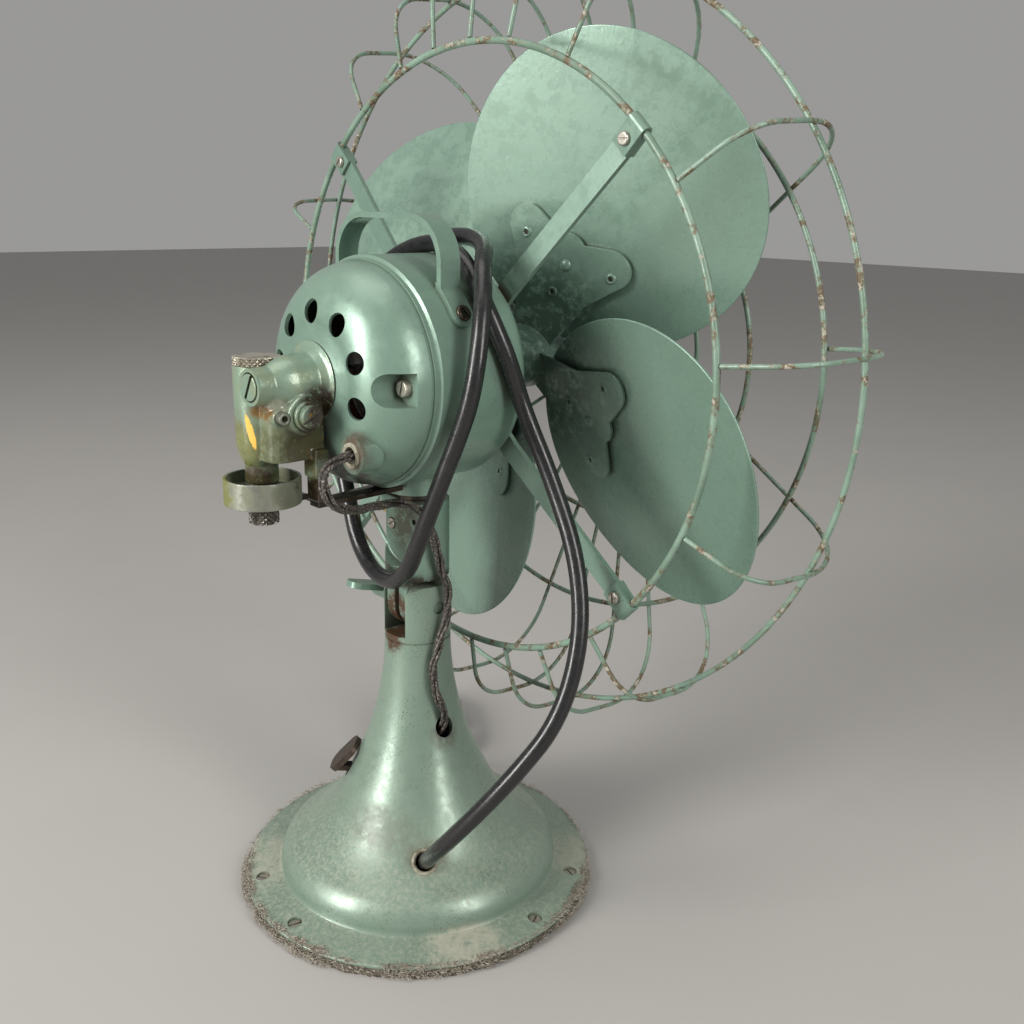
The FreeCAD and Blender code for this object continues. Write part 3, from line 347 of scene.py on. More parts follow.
softLooks = {  # two colours, roughness, scale, depth of the ripple, contrast
    "braid": ((0.022, 0.019, 0.017), (0.24, 0.21, 0.175), 0.55, 1100, 0.0003, (0.50, 0.62)),
    "fibre": ((0.34, 0.33, 0.26), (0.13, 0.11, 0.07), 0.5, 240, 0.0002),
    "felt": ((0.055, 0.046, 0.035), (0.15, 0.13, 0.10), 0.95, 480, 0.0012),
    "lint": ((0.40, 0.37, 0.31), (0.20, 0.175, 0.135), 0.95, 700, 0.0004),
    "plateSteel": ((0.05, 0.055, 0.05), (0.09, 0.085, 0.07), 0.55, 90, 0.0002),
}
finishes = {name: enamel(name, look) for name, look in enamelLooks.items()}
finishes["guardEnamel"] = wireEnamel("guardEnamel")
finishes["gearCasting"] = oilyCasting("gearCasting")
finishes.update({name: metal(name, *look) for name, look in metalLooks.items()})
finishes.update({name: soft(name, *look) for name, look in softLooks.items()})
finishes["cordRubber"] = cordRubber("cordRubber")
print("finishes ready:", len(finishes))


# Shapes

arcSteps = 12


def shade(bm, limit):  # smooth faces, with creases kept sharp
    for face in bm.faces:
        face.smooth = True
    crease = math.radians(limit)
    for edge in bm.edges:
        edge.smooth = not (len(edge.link_faces) == 2 and edge.calc_face_angle(0) > crease)


def newObject(name, bm):
    mesh = bpy.data.meshes.new(name)
    bm.to_mesh(mesh)
    bm.free()
    piece = bpy.data.objects.new(name, mesh)
    scene.collection.objects.link(piece)
    return piece


def settle(piece, finish, body, nodes=()):
    piece.data.materials.clear()
    piece.data.materials.append(finishes[finish])
    if body:
        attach(piece, body)
    if nodes:
        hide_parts(*nodes)
    return piece


def rebuilt(piece, limit=32):  # the modifiers' result becomes the mesh
    bpy.context.view_layer.update()
    graph = bpy.context.evaluated_depsgraph_get()
    mesh = bpy.data.meshes.new_from_object(piece.evaluated_get(graph))
    piece.modifiers.clear()
    bm = bmesh.new()
    bm.from_mesh(mesh)
    shade(bm, limit)
    bm.to_mesh(piece.data)
    bm.free()
    bpy.data.meshes.remove(mesh)
    return piece


def carve(piece, cutters, operation="DIFFERENCE"):
    tool = newObject(piece.name + "Cutter", cutters)
    change = piece.modifiers.new("cut", "BOOLEAN")
    change.operation = operation
    change.solver = "EXACT"
    change.object = tool
    rebuilt(piece)
    bpy.data.objects.remove(tool)
    return piece


def lifted(piece):  # a piece's mesh, to be a cutter
    bm = bmesh.new()
    bm.from_mesh(piece.data)
    bpy.data.objects.remove(piece)
    return bm


def rounded(bm, geom, offset, segments, kind="EDGES"):
    return bmesh.ops.bevel(bm, geom=geom, offset=offset * 0.001, offset_type="OFFSET", segments=segments,
                           profile=0.5, affect=kind, material=-1)


def moved(bm, matrix):
    bmesh.ops.transform(bm, matrix=matrix, verts=bm.verts)
    return bm


def soften(piece, width, segments=2, angle=34):
    edge = piece.modifiers.new("edges", "BEVEL")
    edge.width = width * 0.001
    edge.segments = segments
    edge.limit_method = "ANGLE"
    edge.angle_limit = math.radians(angle)
    edge.use_clamp_overlap = True
    level = piece.modifiers.new("normals", "WEIGHTED_NORMAL")
    level.keep_sharp = True
    return piece


def rod(bm, radius, start, end, segments=48):
    start, end = mm(*start), mm(*end)
    spot = lean((start + end) / 2, end - start)
    return bmesh.ops.create_cone(bm, cap_ends=True, segments=segments, radius1=radius * 0.001,
                                 radius2=radius * 0.001, depth=(end - start).length, matrix=spot)["verts"]


def block(bm, low, high):
    low, high = mm(*low), mm(*high)
    size = Matrix.Diagonal((*(high - low), 1))
    return bmesh.ops.create_cube(bm, size=1, matrix=Matrix.Translation((low + high) / 2) @ size)["verts"]


def curveThrough(first, middle, last, count):  # points on the arc through three points
    a, b, c = Vector(first), Vector(middle), Vector(last)
    ab, ac = b - a, c - a
    cross = 2 * (ab.x * ac.y - ab.y * ac.x)
    centre = a + Vector((ac.y * ab.length_squared - ab.y * ac.length_squared,
                         ab.x * ac.length_squared - ac.x * ab.length_squared)) / cross
    start = math.atan2(*(a - centre).yx)
    sweep = (math.atan2(*(c - centre).yx) - start + math.pi) % math.tau - math.pi
    radius = (a - centre).length
    turns = [start + sweep * i / count for i in range(1, count)]
    return [(centre.x + radius * math.cos(t), centre.y + radius * math.sin(t)) for t in turns]


def arcs(profile):  # a third value rounds a corner, and four values are an arc's middle and end
    spots = [profile[0]]
    for point in profile[1:]:
        if len(point) == 4:
            spots += curveThrough(spots[-1][:2], point[:2], point[2:], arcSteps) + [point[2:]]
        else:
            spots.append(point)
    return spots


def drilled(piece, rods, operation="DIFFERENCE"):
    tool = bmesh.new()
    for radius, start, end, *segments in rods:
        rod(tool, radius, start, end, *segments)
    return carve(piece, tool, operation)


def lathed(profile, place, axis, steps, closed):
    bm = bmesh.new()
    points = arcs(profile)
    verts = [bm.verts.new(place(*point[:2])) for point in points]
    for pair in zip(verts, verts[1:] + verts[:1] if closed else verts[1:]):
        bm.edges.new(pair)
    for vert, point in zip(verts, points):
        if len(point) == 3:
            rounded(bm, [vert], point[2], 4, "VERTICES")
    bmesh.ops.spin(bm, geom=bm.verts[:] + bm.edges[:], cent=rotorCentre if axis[1] else (0, 0, 0), axis=axis,
                   dvec=(0, 0, 0), angle=math.tau, steps=steps, use_merge=True, use_duplicate=False)
    bmesh.ops.remove_doubles(bm, verts=bm.verts, dist=1e-6)
    bmesh.ops.recalc_face_normals(bm, faces=bm.faces)
    shade(bm, 32)
    return bm


def standing(points, closed=False, steps=160):  # turned about the column axis from (radius, height)
    return lathed(points, lambda radius, height: mm(radius, 0, height), (0, 0, 1), steps, closed)


def turned(points, closed=False, steps=144):  # turned about the rotor axis from (y, radius)
    return lathed(points, lambda y, radius: mm(radius, y, headHeight), (0, 1, 0), steps, closed)


def stamp(bm, source, spots):  # copies of one small mesh
    mesh = bpy.data.meshes.new("stamp")
    source.to_mesh(mesh)
    source.free()
    for spot in spots:
        mesh.transform(spot)
        bm.from_mesh(mesh)
        mesh.transform(spot.inverted())
    bpy.data.meshes.remove(mesh)


def fromFrame(node):  # a merged copy of a frame piece's mesh
    bm = bmesh.new()
    bm.from_mesh(fkNodes[node].data)
    bmesh.ops.remove_doubles(bm, verts=bm.verts, dist=2e-6)
    bmesh.ops.dissolve_limit(bm, angle_limit=math.radians(0.3), use_dissolve_boundaries=False,
                             verts=bm.verts, edges=bm.edges)
    shade(bm, 30)
    return bm


def cast(piece, voxel, rounds):  # blends a merged copy's corners as a casting's are
    skin = piece.modifiers.new("skin", "REMESH")
    skin.mode = "VOXEL"
    skin.voxel_size = voxel * 0.001
    ease = piece.modifiers.new("ease", "SMOOTH")
    ease.iterations = rounds
    ease.factor = 0.5
    return rebuilt(piece, 80)


def smoothPiece(name, node, finish, body, width=0.3, segments=2):
    piece = soften(newObject(name, fromFrame(node)), width, segments)
    return settle(piece, finish, body, [node])


def screwHeads(name, spots, look, finish, body, nodes=()):
    bm, slots = bmesh.new(), bmesh.new()
    for centre, axis, roll in spots:
        spot = lean(mm(*centre), axis, roll)
        radius, height = look["radius"] * 0.001, look["height"] * 0.001
        verts = bmesh.ops.create_cone(bm, cap_ends=True, segments=40, radius1=radius, radius2=radius,
                                      depth=height, matrix=Matrix.Translation((0, 0, height / 2)))["verts"]
        rim = [edge for edge in {e for v in verts for e in v.link_edges}
               if all(v.co.z > height * 0.9 for v in edge.verts)]
        made = rounded(bm, rim, look["dome"], 4)
        group = set(made["verts"]) | {v for v in verts if v.is_valid}
        bmesh.ops.transform(bm, matrix=spot, verts=list(group))
        cut = spot @ Matrix.Translation((0, 0, height)) @ Matrix.Diagonal(
            (radius * 3, look["slot"] * 0.001, look["depth"] * 0.002, 1))
        bmesh.ops.create_cube(slots, size=1, matrix=cut)
    piece = newObject(name, bm)
    carve(piece, slots)
    soften(piece, 0.08, 1, 50)
    return settle(piece, finish, body, nodes)


def knurl(bm, radius, low, high, count, rows, depth, spot):  # a diamond-cut band with closed ends
    before = set(bm.verts)
    ring = bmesh.ops.create_circle(bm, segments=count, radius=radius * 0.001)["verts"]
    bmesh.ops.translate(bm, verts=ring, vec=(0, 0, low * 0.001))
    edges = list({edge for vert in ring for edge in vert.link_edges})
    levels = [ring]
    for row in range(rows):
        made = bmesh.ops.extrude_edge_only(bm, edges=edges)["geom"]
        verts = [g for g in made if isinstance(g, bmesh.types.BMVert)]
        edges = [g for g in made if isinstance(g, bmesh.types.BMEdge)]
        bmesh.ops.translate(bm, verts=verts, vec=(0, 0, (high - low) / rows * 0.001))
        levels.append(verts)
    cuts = []
    for row, verts in enumerate(levels):
        for vert in verts:
            index = round(math.atan2(vert.co.y, vert.co.x) / math.tau * count)
            if (index + row) % 2:
                vert.co.xy *= 1 - depth / radius
                cuts.append(vert)
    bmesh.ops.connect_verts(bm, verts=cuts)
    top = bmesh.ops.edgeloop_fill(bm, edges=edges)["faces"]
    first = [edge for edge in {e for v in ring for e in v.link_edges} if all(v in ring for v in edge.verts)]
    bottom = bmesh.ops.edgeloop_fill(bm, edges=first)["faces"]
    for face in top + bottom:
        bmesh.ops.inset_region(bm, faces=[face], thickness=0.0004, depth=0.0003)
    bmesh.ops.recalc_face_normals(bm, faces=bm.faces)
    bmesh.ops.transform(bm, matrix=spot, verts=[vert for vert in bm.verts if vert not in before])


def curveLine(points, closed=False, kind="POLY"):
    data = bpy.data.curves.new("line", "CURVE")
    data.dimensions = "3D"
    spline = data.splines.new(kind)
    spline.points.add(len(points) - 1)
    for spot, point in zip(spline.points, points):
        spot.co = (*point, 1)
    spline.use_cyclic_u = closed
    return data


def meshOf(data):
    helper = bpy.data.objects.new("helper", data)
    scene.collection.objects.link(helper)
    bpy.context.view_layer.update()
    graph = bpy.context.evaluated_depsgraph_get()
    mesh = bpy.data.meshes.new_from_object(helper.evaluated_get(graph))
    bpy.data.objects.remove(helper)
    bpy.data.curves.remove(data)
    return mesh


def wireInto(bm, points, radius, closed=False, resolution=3, matrix=None):
    data = curveLine(points, closed)
    data.bevel_depth = radius * 0.001
    data.bevel_resolution = resolution
    data.use_fill_caps = True
    mesh = meshOf(data)
    if matrix:
        mesh.transform(matrix)
    bm.from_mesh(mesh)
    bpy.data.meshes.remove(mesh)


def tidyMesh(bm):
    bmesh.ops.remove_doubles(bm, verts=bm.verts, dist=1e-6)
    bmesh.ops.recalc_face_normals(bm, faces=bm.faces)
    shade(bm, 50)
    return bm


# Camera, light and table

camera = bpy.data.objects.new("camera", bpy.data.cameras.new("camera"))
scene.collection.objects.link(camera)
scene.camera = camera
azimuth, elevation, roll = (math.radians(angle) for angle in (225.47, 16.55, 1.18))
back = Vector((math.sin(azimuth) * math.cos(elevation), -math.cos(azimuth) * math.cos(elevation),
               math.sin(elevation)))
across = (-back).cross(Vector((0, 0, 1))).normalized()
above = across.cross(-back)
right = across * math.cos(roll) + above * math.sin(roll)
up = above * math.cos(roll) - across * math.sin(roll)
place = Matrix((right, up, back)).transposed().to_4x4()
place.translation = mm(-376.0, 305.8, 337.9)
camera.matrix_world = place
sensorWidth, framePixels, focalPixels = 36, 1024, 1047.9
camera.data.sensor_width = sensorWidth
camera.data.lens = focalPixels * sensorWidth / framePixels
camera.data.clip_start = 0.02
camera.data.dof.use_dof = False
scene.view_settings.view_transform = "Standard"

floorMesh = bmesh.new()
bmesh.ops.create_grid(floorMesh, x_segments=1, y_segments=1, size=6)
floor = newObject("floor", floorMesh)
tableTop = Finish("tableTop", (0.46, 0.45, 0.43), 0.6)
tableTop.drive("Base Color", tableTop.tint(tableTop.grain(7, 3), (0.40, 0.39, 0.375), (0.375, 0.365, 0.35)))
floor.data.materials.append(tableTop.material)

world = bpy.data.worlds.new("studio")
scene.world = world
world.use_nodes = True
world.node_tree.nodes["Background"].inputs["Color"].default_value = (1.0, 0.99, 0.975, 1)
world.node_tree.nodes["Background"].inputs["Strength"].default_value = 0.32


def panel(name, centre, target, width, height, power):
    light = bpy.data.lights.new(name, "AREA")
    light.shape = "RECTANGLE"
    light.size, light.size_y = width, height
    light.energy = power
    light.color = (1.0, 0.975, 0.94)
    lamp = bpy.data.objects.new(name, light)
    scene.collection.objects.link(lamp)
    lamp.matrix_world = lean(Vector(centre), Vector(centre) - Vector(target))


panel("keyLight", (0.32, 1.50, 0.74), (0, 0, 0.25), 0.5, 1.15, 36)
panel("fillLight", (-1.45, -0.05, 0.86), (0, 0, 0.25), 0.4, 1.1, 15)
panel("topLight", (0.3, 0.2, 1.9), (0, 0, 0.2), 1.2, 1.2, 8)
print("camera and light ready")


# Base

def flare(share):
    return 16.3 + share * 57.0


leverHeight = 0.372 * tiltHeight
earTop = tiltHeight + 11.2


def makeBase():
    body = newObject("baseCasting", standing([
        (0, 2.5), (79.5, 2.5), (79.5, 4.1), (89.0, 4.1, 0.3), (88.9, 5.2, 0.4), (87.8, 5.9), (73.6, 7.9),
        (71.9, 8.6), (71.2, 9.8), (69.06, 17.8, 63.2, 23.7), (50.3, 34.0, flare(0.346), 55.1),
        (flare(0.148), 81.2, 16.3, 128.1), (16.3, 130.9), (15.7, 131.05), (15.7, 131.8), (16.3, 131.95),
        (16.3, earTop), (0, earTop),
    ], steps=192))
    carve(body, standing([
        (0, 1.5), (70.0, 1.5), (68.3, 8), (flare(0.59), 27.6), (flare(0.285), 53.6), (flare(0.09), 80.5),
        (10.8, 116.2), (0, 116.2),
    ], steps=96))
    holes = bmesh.new()
    block(holes, (-8, -19, 134.5), (8, 19, 170))
    rod(holes, 3.26, (-19, 0, tiltHeight), (19, 0, tiltHeight))
    carve(body, holes)
    corner, crown = bmesh.new(), bmesh.new()
    block(corner, (-19, -19, earTop - 7), (19, 19, earTop + 1))
    block(crown, (-20, -14.3, earTop - 20), (20, 14.3, earTop))
    rim = [edge for edge in crown.edges if all(v.co.z * 1000 > earTop - 1 for v in edge.verts)
           and abs(edge.verts[0].co.y - edge.verts[1].co.y) < 1e-6]
    rounded(crown, rim, 7.0, 12)
    carve(body, lifted(carve(newObject("shoulder", corner), crown)))
    holes = [(5.0, (*around(14, 176), 81.4), (*around(36, 176), 99.9)), (5.95, *eyeletLine(-20, 12))]
    for angle in flangeAngles:
        spot = around(screwCircle, angle)
        holes.append((3.5, (*spot, 4.1), (*spot, 11.5), 32))
    drilled(body, holes)
    sweep = bmesh.new()
    low, high = leverHeight - 3.2, leverHeight + 3.2
    face = sweep.faces.new([sweep.verts.new(mm(*around(radius, -7), height))
                            for radius, height in ((18, low), (60, low), (60, high), (18, high))])
    bmesh.ops.spin(sweep, geom=[face], cent=(0, 0, 0), axis=(0, 0, 1), dvec=(0, 0, 0),
                   angle=math.radians(60), steps=24, use_merge=False, use_duplicate=False)
    bmesh.ops.recalc_face_normals(sweep, faces=sweep.faces)
    carve(body, sweep)
    soften(body, 0.5, 2)
    return settle(body, "baseEnamel", "base", ["base_casting"])


def eyeletLine(start, end):
    spots = []
    rise = math.radians(36)
    for along in (start, end):
        x, y = around(50.0 + along * math.cos(rise), 144)
        spots.append((x, y, 33.5 + along * math.sin(rise)))
    return spots


screwCircle = 81
flangeAngles = [64, 94, 184, 214, 304, 334]
flatHead = {"radius": 3.45, "height": 1.6, "dome": 0.5, "slot": 0.9, "depth": 0.8}
makeBase()
flangeSpots = [((*around(screwCircle, angle), 4.15), (0, 0, 1), 25 + 47 * i)
               for i, angle in enumerate(flangeAngles)]
screwHeads("flangeScrews", flangeSpots, flatHead, "screwSteel", "base", ["flange_screws"])


def lintClump(angle):  # where the lint hangs thickest round the rim
    return max(max(0.0, 1 - abs((angle - middle + 180) % 360 - 180) / reach)
               for middle, reach in ((100, 34), (58, 16), (205, 14)))


fibreTries = 9000
fibreReach = 0.0918  # the lint stays inside this radius


def makeFelt():
    rng = random.Random(4)
    bm = standing([(61.5, 0), (89.3, 0, 0.5), (89.5, 4.0, 0.5), (79.8, 4.0), (79.8, 2.4), (61.5, 2.4)],
                  closed=True, steps=300)
    for vert in bm.verts:
        rough = noise.noise(vert.co * 120) * 0.0011 + noise.noise(vert.co * 700) * 0.0006
        if vert.co.xy.length < 0.08:
            rough = 0
        vert.co += Vector((vert.co.x, vert.co.y, 0)).normalized() * rough
    settle(newObject("feltPad", bm), "felt", "base", ["base_felt"])
    lint = bmesh.new()
    wads = [rng.gauss(middle, spread) for middle, spread in ((100, 20), (62, 8), (205, 8), (160, 30))
            for _ in range(9)]
    for i in range(fibreTries):
        angle = rng.choice(wads) + rng.gauss(0, 1.3) if i % 2 else rng.uniform(0, 360)
        thick = max(0.0, 0.35 + 1.3 * noise.noise(Vector((angle * 0.045, 3, 0))) + lintClump(angle))
        if rng.random() > 0.25 + thick:
            continue
        radius = 89.4 + rng.uniform(-2.4, 1.5) * min(thick + 0.3, 1.2)
        height = max(0.5, rng.uniform(0.8, 4.2) if radius > 89 else rng.uniform(4.8, 6.4))
        start = Vector((*around(radius, angle), height))
        turn = rng.uniform(-80, 80) + angle + 90
        size = rng.uniform(0.8, 3.4)
        middle = start + Vector((*around(size * 0.5, turn), rng.uniform(-0.3, 0.9)))
        end = middle + Vector((*around(size * 0.5, turn + rng.uniform(-70, 70)), rng.uniform(-0.7, 0.4)))
        line = [v * 0.001 for v in (start, middle, end)]
        line = [Vector((v.x, v.y, max(v.z, 0.0003))) for v in line]
        line = [v if v.xy.length < fibreReach else Vector((*(v.xy.normalized() * fibreReach), v.z))
                for v in line]
        thread(lint, line, 0.00007 + 0.00010 * rng.random())
    settle(newObject("lintFibres", lint), "lint", "base")


def thread(bm, line, radius):  # a three-sided strand through points
    before = None
    for i, spot in enumerate(line):
        ahead = (line[min(i + 1, len(line) - 1)] - line[max(i - 1, 0)]).normalized()
        side = ahead.orthogonal().normalized()
        ring = [bm.verts.new(spot + Matrix.Rotation(math.tau * k / 3, 3, ahead) @ side * radius)
                for k in range(3)]
        if before:
            for k in range(3):
                bm.faces.new((before[k], before[(k + 1) % 3], ring[(k + 1) % 3], ring[k]))
        before = ring


makeFelt()


def makeEyelet():
    bm = standing([(4.35, -4.0), (4.35, 0.9), (4.8, 1.6), (5.5, 1.85), (6.2, 1.45), (6.45, 0.75), (5.85, 0.4),
                   (5.85, -4.0)], closed=True, steps=64)
    inner, outer = (mm(*spot) for spot in eyeletLine(0, 1))
    shade(moved(bm, lean(inner, outer - inner)), 50)
    return settle(newObject("eyeletBush", bm), "fibre", "base", ["cord_eyelet"])


makeEyelet()
smoothPiece("speedLever", "switch_lever", "leverSteel", "speed_lever", 0.6, 3)
smoothPiece("wingScrew", "wing_screw", "neckEnamel", "tilt_screw", 0.9, 3)
print("base ready")


# Neck

yokeCasting = cast(newObject("yokeCasting", fromFrame("yoke")), 0.42, 4)
settle(yokeCasting, "neckEnamel", "yoke", ["yoke"])
screwHeads("yokeScrew", [((8.2, 7.4, 188), (0, 1, 0), 35)],
           {"radius": 2.55, "height": 2.2, "dome": 0.4, "slot": 0.7, "depth": 0.7},
           "screwSteel", "yoke", ["yoke_screw"])
smoothPiece("linkStud", "link_stud", "oldBrass", "yoke", 0.35)
smoothPiece("pivotStud", "pivot_stud", "oilySteel", "head", 0.3)
smoothPiece("oscillatingLink", "link", "oilySteel", "oscillating_link", 0.4, 3)
print("neck ready")


# Motor

def makeRearBell():
    body = newObject("rearBell", turned([
        (28.4, 46.6), (28.4, 49.15), (31.6, 49.15), (31.6, 49.3, 0.3), (34.0, 48.9, 1.2),
        (48.3, 41.4, 54.8, 22), (57.0, 15.0, 0.6), (57.0, 9), (51.0, 9), (51.0, 13), (53.15, 22.2),
        (47.1, 40.3, 33.8, 47.2),
    ], closed=True, steps=192))
    for side in (0, 180):
        filled = newObject("cheek", turned([
            (31.7, 0), (31.7, 48.9), (33.9, 48.7), (48.25, 41.2, 54.6, 21.9), (54.6, 0)], steps=192))
        room = bmesh.new()
        block(room, (32.5, 35, 253), (60, 57, 273))
        carve(body, lifted(carve(filled, moved(room, clock(side)), "INTERSECT")), "UNION")
        pocket = bmesh.new()
        block(pocket, (35.5, 38, 256), (70, 66, 270))
        floorRim = [edge for edge in pocket.edges if all(v.co.x < 0.036 for v in edge.verts)
                    and abs(edge.verts[0].co.y - edge.verts[1].co.y) > 0.01]
        rounded(pocket, floorRim, 6.4, 10)
        carve(body, moved(pocket, clock(side)))
    vents = bmesh.new()
    for i in range(6):
        verts = rod(vents, 4.8, (20.8, 41, headHeight), (35.8, 65, headHeight), 48)
        bmesh.ops.transform(vents, matrix=clock(9.7 + 37.5 * i), verts=verts)
    carve(body, vents)
    drilled(body, [(8, (-27, 46, 235), (-27, 56.5, 235))], "UNION")
    drilled(body, [(5.5, (-27, 31, 235), (-27, 59, 235))])
    soften(body, 0.55, 3)
    return settle(body, "motorEnamel", "head", ["rear_bell"])


makeRearBell()
smoothPiece("motorShell", "motor_shell", "motorEnamel", "head", 0.5, 3)


def makeHandle():
    piece = newObject("carryHandle", fromFrame("handle"))
    for angle, low, high in ((33, -12, 0), (147, 0, 12)):
        below, keep = bmesh.new(), bmesh.new()
        block(below, (45, 5, headHeight + low), (60, 18, headHeight + high))
        rod(keep, 5.5, (44, 11.5, headHeight), (62, 11.5, headHeight), 64)
        corner = lifted(carve(newObject("corner", below), keep))
        carve(piece, moved(corner, clock(angle)))
    soften(piece, 0.45, 3)
    return settle(piece, "motorEnamel", "head", ["handle"])


makeHandle()


def makeFrontBell():
    body = newObject("frontBell", turned([
        (-17, 46.5), (-17, 50.5), (-21.8, 48.9, -24, 44), (-24, 19, 1.0), (-29, 17.5), (-44, 15.5),
        (-50, 10, 1.0), (-50, 5.3), (-46, 5.3), (-46, 12), (-21.5, 12), (-21.5, 42.5)], closed=True))
    soften(body, 0.4, 2)
    return settle(body, "motorEnamel", "head", ["front_bell"])


makeFrontBell()
domedHead = {"radius": 3.55, "height": 1.6, "dome": 1.0, "slot": 0.9, "depth": 0.7}
handleSpots = []
for i, angle in enumerate((33, 147)):
    x, z = around(54.05, angle)
    handleSpots.append(((x, 11.5, headHeight + z), (x, 0, z), 40 + 70 * i))
screwHeads("handleScrews", handleSpots, domedHead, "oilySteel", "head", ["handle_screws"])
boltSpots = [((40.5, 38.0, headHeight), (0, 1, 0), 20), ((-40.5, 38.0, headHeight), (0, 1, 0), 75)]
screwHeads("throughBolts", boltSpots, {"radius": 3.55, "height": 3.0, "dome": 0.7, "slot": 1.0, "depth": 1.0},
           "screwSteel", "head", ["through_bolts"])
smoothPiece("wireGrommet", "wire_grommet", "fibre", "head", 0.3)
smoothPiece("strapPlate", "housing_strap", "oilySteel", "head", 0.4)
print("motor ready")


# Gear case, crank and cap

spindle = (11.0, 76.5)
caseTop, caseBottom, collarBottom = headHeight + 7.3, headHeight - 32.0, headHeight - 43.0
crossY, crossHeight = 68.0, headHeight - 12.0


def makeGearCase():
    bm = turned([
        (56.95, 0), (56.95, 17.6), (57.9, 14.6), (60.4, 12.4), (70.0, 11.7), (75.2, 10.2, 79.0, 8.1),
        (86.6, 7.7), (86.6, 0)], steps=96)
    tower = standing([
        (0, collarBottom), (7.15, collarBottom), (7.15, caseBottom - 3),
        (9.2, caseBottom + 1.2, 10.25, caseBottom + 7), (10.25, caseTop), (0, caseTop)], steps=96)
    stamp(bm, tower, [Matrix.Translation(mm(*spindle, 0))])
    verts = block(bm, (-8, 57, caseBottom), (19, 81.5, headHeight))
    rear = [edge for edge in {e for v in verts for e in v.link_edges}
            if abs(edge.verts[0].co.z - edge.verts[1].co.z) > 0.01 and edge.verts[0].co.y > 0.08]
    rounded(bm, rear, 6.0, 6)
    rod(bm, 8.5, (-12, crossY, crossHeight), (11, crossY, crossHeight), 64)
    rod(bm, 3.7, (-8.4, 78, crossHeight - 0.5), (4, 78, crossHeight - 0.5), 32)
    block(bm, (-10, 57, 211.4), (-1, 62, caseBottom + 2))
    block(bm, (-11, 57, 222.6), (-1.6, 63.5, caseBottom + 4))
    piece = newObject("gearCase", bm)
    cast(piece, 0.42, 9)
    drilled(piece, [(7.7, (0, 79, headHeight), (0, 87, headHeight), 64)], "UNION")
    drilled(piece, [(10.25, (*spindle, caseTop - 5), (*spindle, caseTop), 72)], "UNION")
    for bore in [
            (5.4, (0, 50, headHeight), (0, 84, headHeight)),
            (6.2, (0, 83.5, headHeight), (0, 90, headHeight)),
            (8.8, (-5, crossY, crossHeight), (5, crossY, crossHeight)),
            (4.2, (5, crossY, crossHeight), (16, crossY, crossHeight)),
            (6.5, (-30, crossY, crossHeight), (-9, crossY, crossHeight)),
            (2.75, (-13, crossY, crossHeight), (17, crossY, crossHeight)),
            (6.2, (*spindle, crossHeight - 5), (*spindle, caseTop + 1)),
            (3.3, (*spindle, collarBottom - 1), (*spindle, crossHeight)),
            (2.5, (-2.5, 78, crossHeight - 0.5), (-14, 78, crossHeight - 0.5))]:
        drilled(piece, [bore])
    return settle(piece, "gearCasting", "head", ["gear_housing"])


makeGearCase()
screwHeads("rearPlug", [((0, 84.2, headHeight), (0, 1, 0), 62)],
           {"radius": 5.7, "height": 3.4, "dome": 0.5, "slot": 1.6, "depth": 1.7},
           "gearCasting", "head")
screwHeads("sidePlug", [((-12.6, crossY, crossHeight), (-1, 0, 0), 30)],
           {"radius": 5.0, "height": 4.3, "dome": 0.5, "slot": 1.2, "depth": 1.5},
           "gearCasting", "head", ["slotted_plugs"])
screwHeads("sidePlugFlange", [((-9.2, crossY, crossHeight), (-1, 0, 0), 0)],
           {"radius": 6.4, "height": 4.9, "dome": 0.7, "slot": 0.01, "depth": 0.01},
           "gearCasting", "head")
smoothPiece("oilTube", "oil_tube", "cupSteel", "head", 0.2)


def makeCap():
    bm = bmesh.new()
    knurl(bm, 10.2, 270.5, 273.6, 52, 3, 0.85, Matrix.Translation(mm(*spindle, 0)))
    rod(bm, 6.1, (*spindle, 266.5), (*spindle, 270.6))
    shade(bm, 20)
    return settle(newObject("greaseCap", bm), "knurlSteel", "cap", ["grease_cap"])


def makeThumbScrew():
    bm = bmesh.new()
    knurl(bm, 6.7, 201.6, 207.4, 32, 5, 0.80, Matrix.Translation(mm(*spindle, 0)))
    rod(bm, 2.2, (*spindle, 206.5), (*spindle, 213.4), 32)
    rod(bm, 3.1, (*spindle, 212.3), (*spindle, 213.7), 32)
    rod(bm, 5.2, (*spindle, 201.4), (*spindle, 202.2), 48)
    shade(bm, 20)
    return settle(newObject("thumbScrew", bm), "blackSteel", "crank_screw", ["thumb_screw"])


makeCap()
makeThumbScrew()
smoothPiece("crankCup", "crank_cup", "cupSteel", "crank", 0.25)
print("gear case ready")


# Fan

bladeOval = {"out": 89.34, "halfLength": 71.06, "up": 4, "halfWidth": 70.58, "thick": 1.18}
bladeAngle = 27.5
camber = 450.0
camberLean = math.radians(20)
camberY = -71.5 - camber * math.cos(camberLean)
camberZ = -camber * math.sin(camberLean)


def camberAt(v, out=0.0):  # the y where the curved sheet passes a height above the rotor axis
    return camberY + math.sqrt((camber + out) ** 2 - (v - camberZ) ** 2)


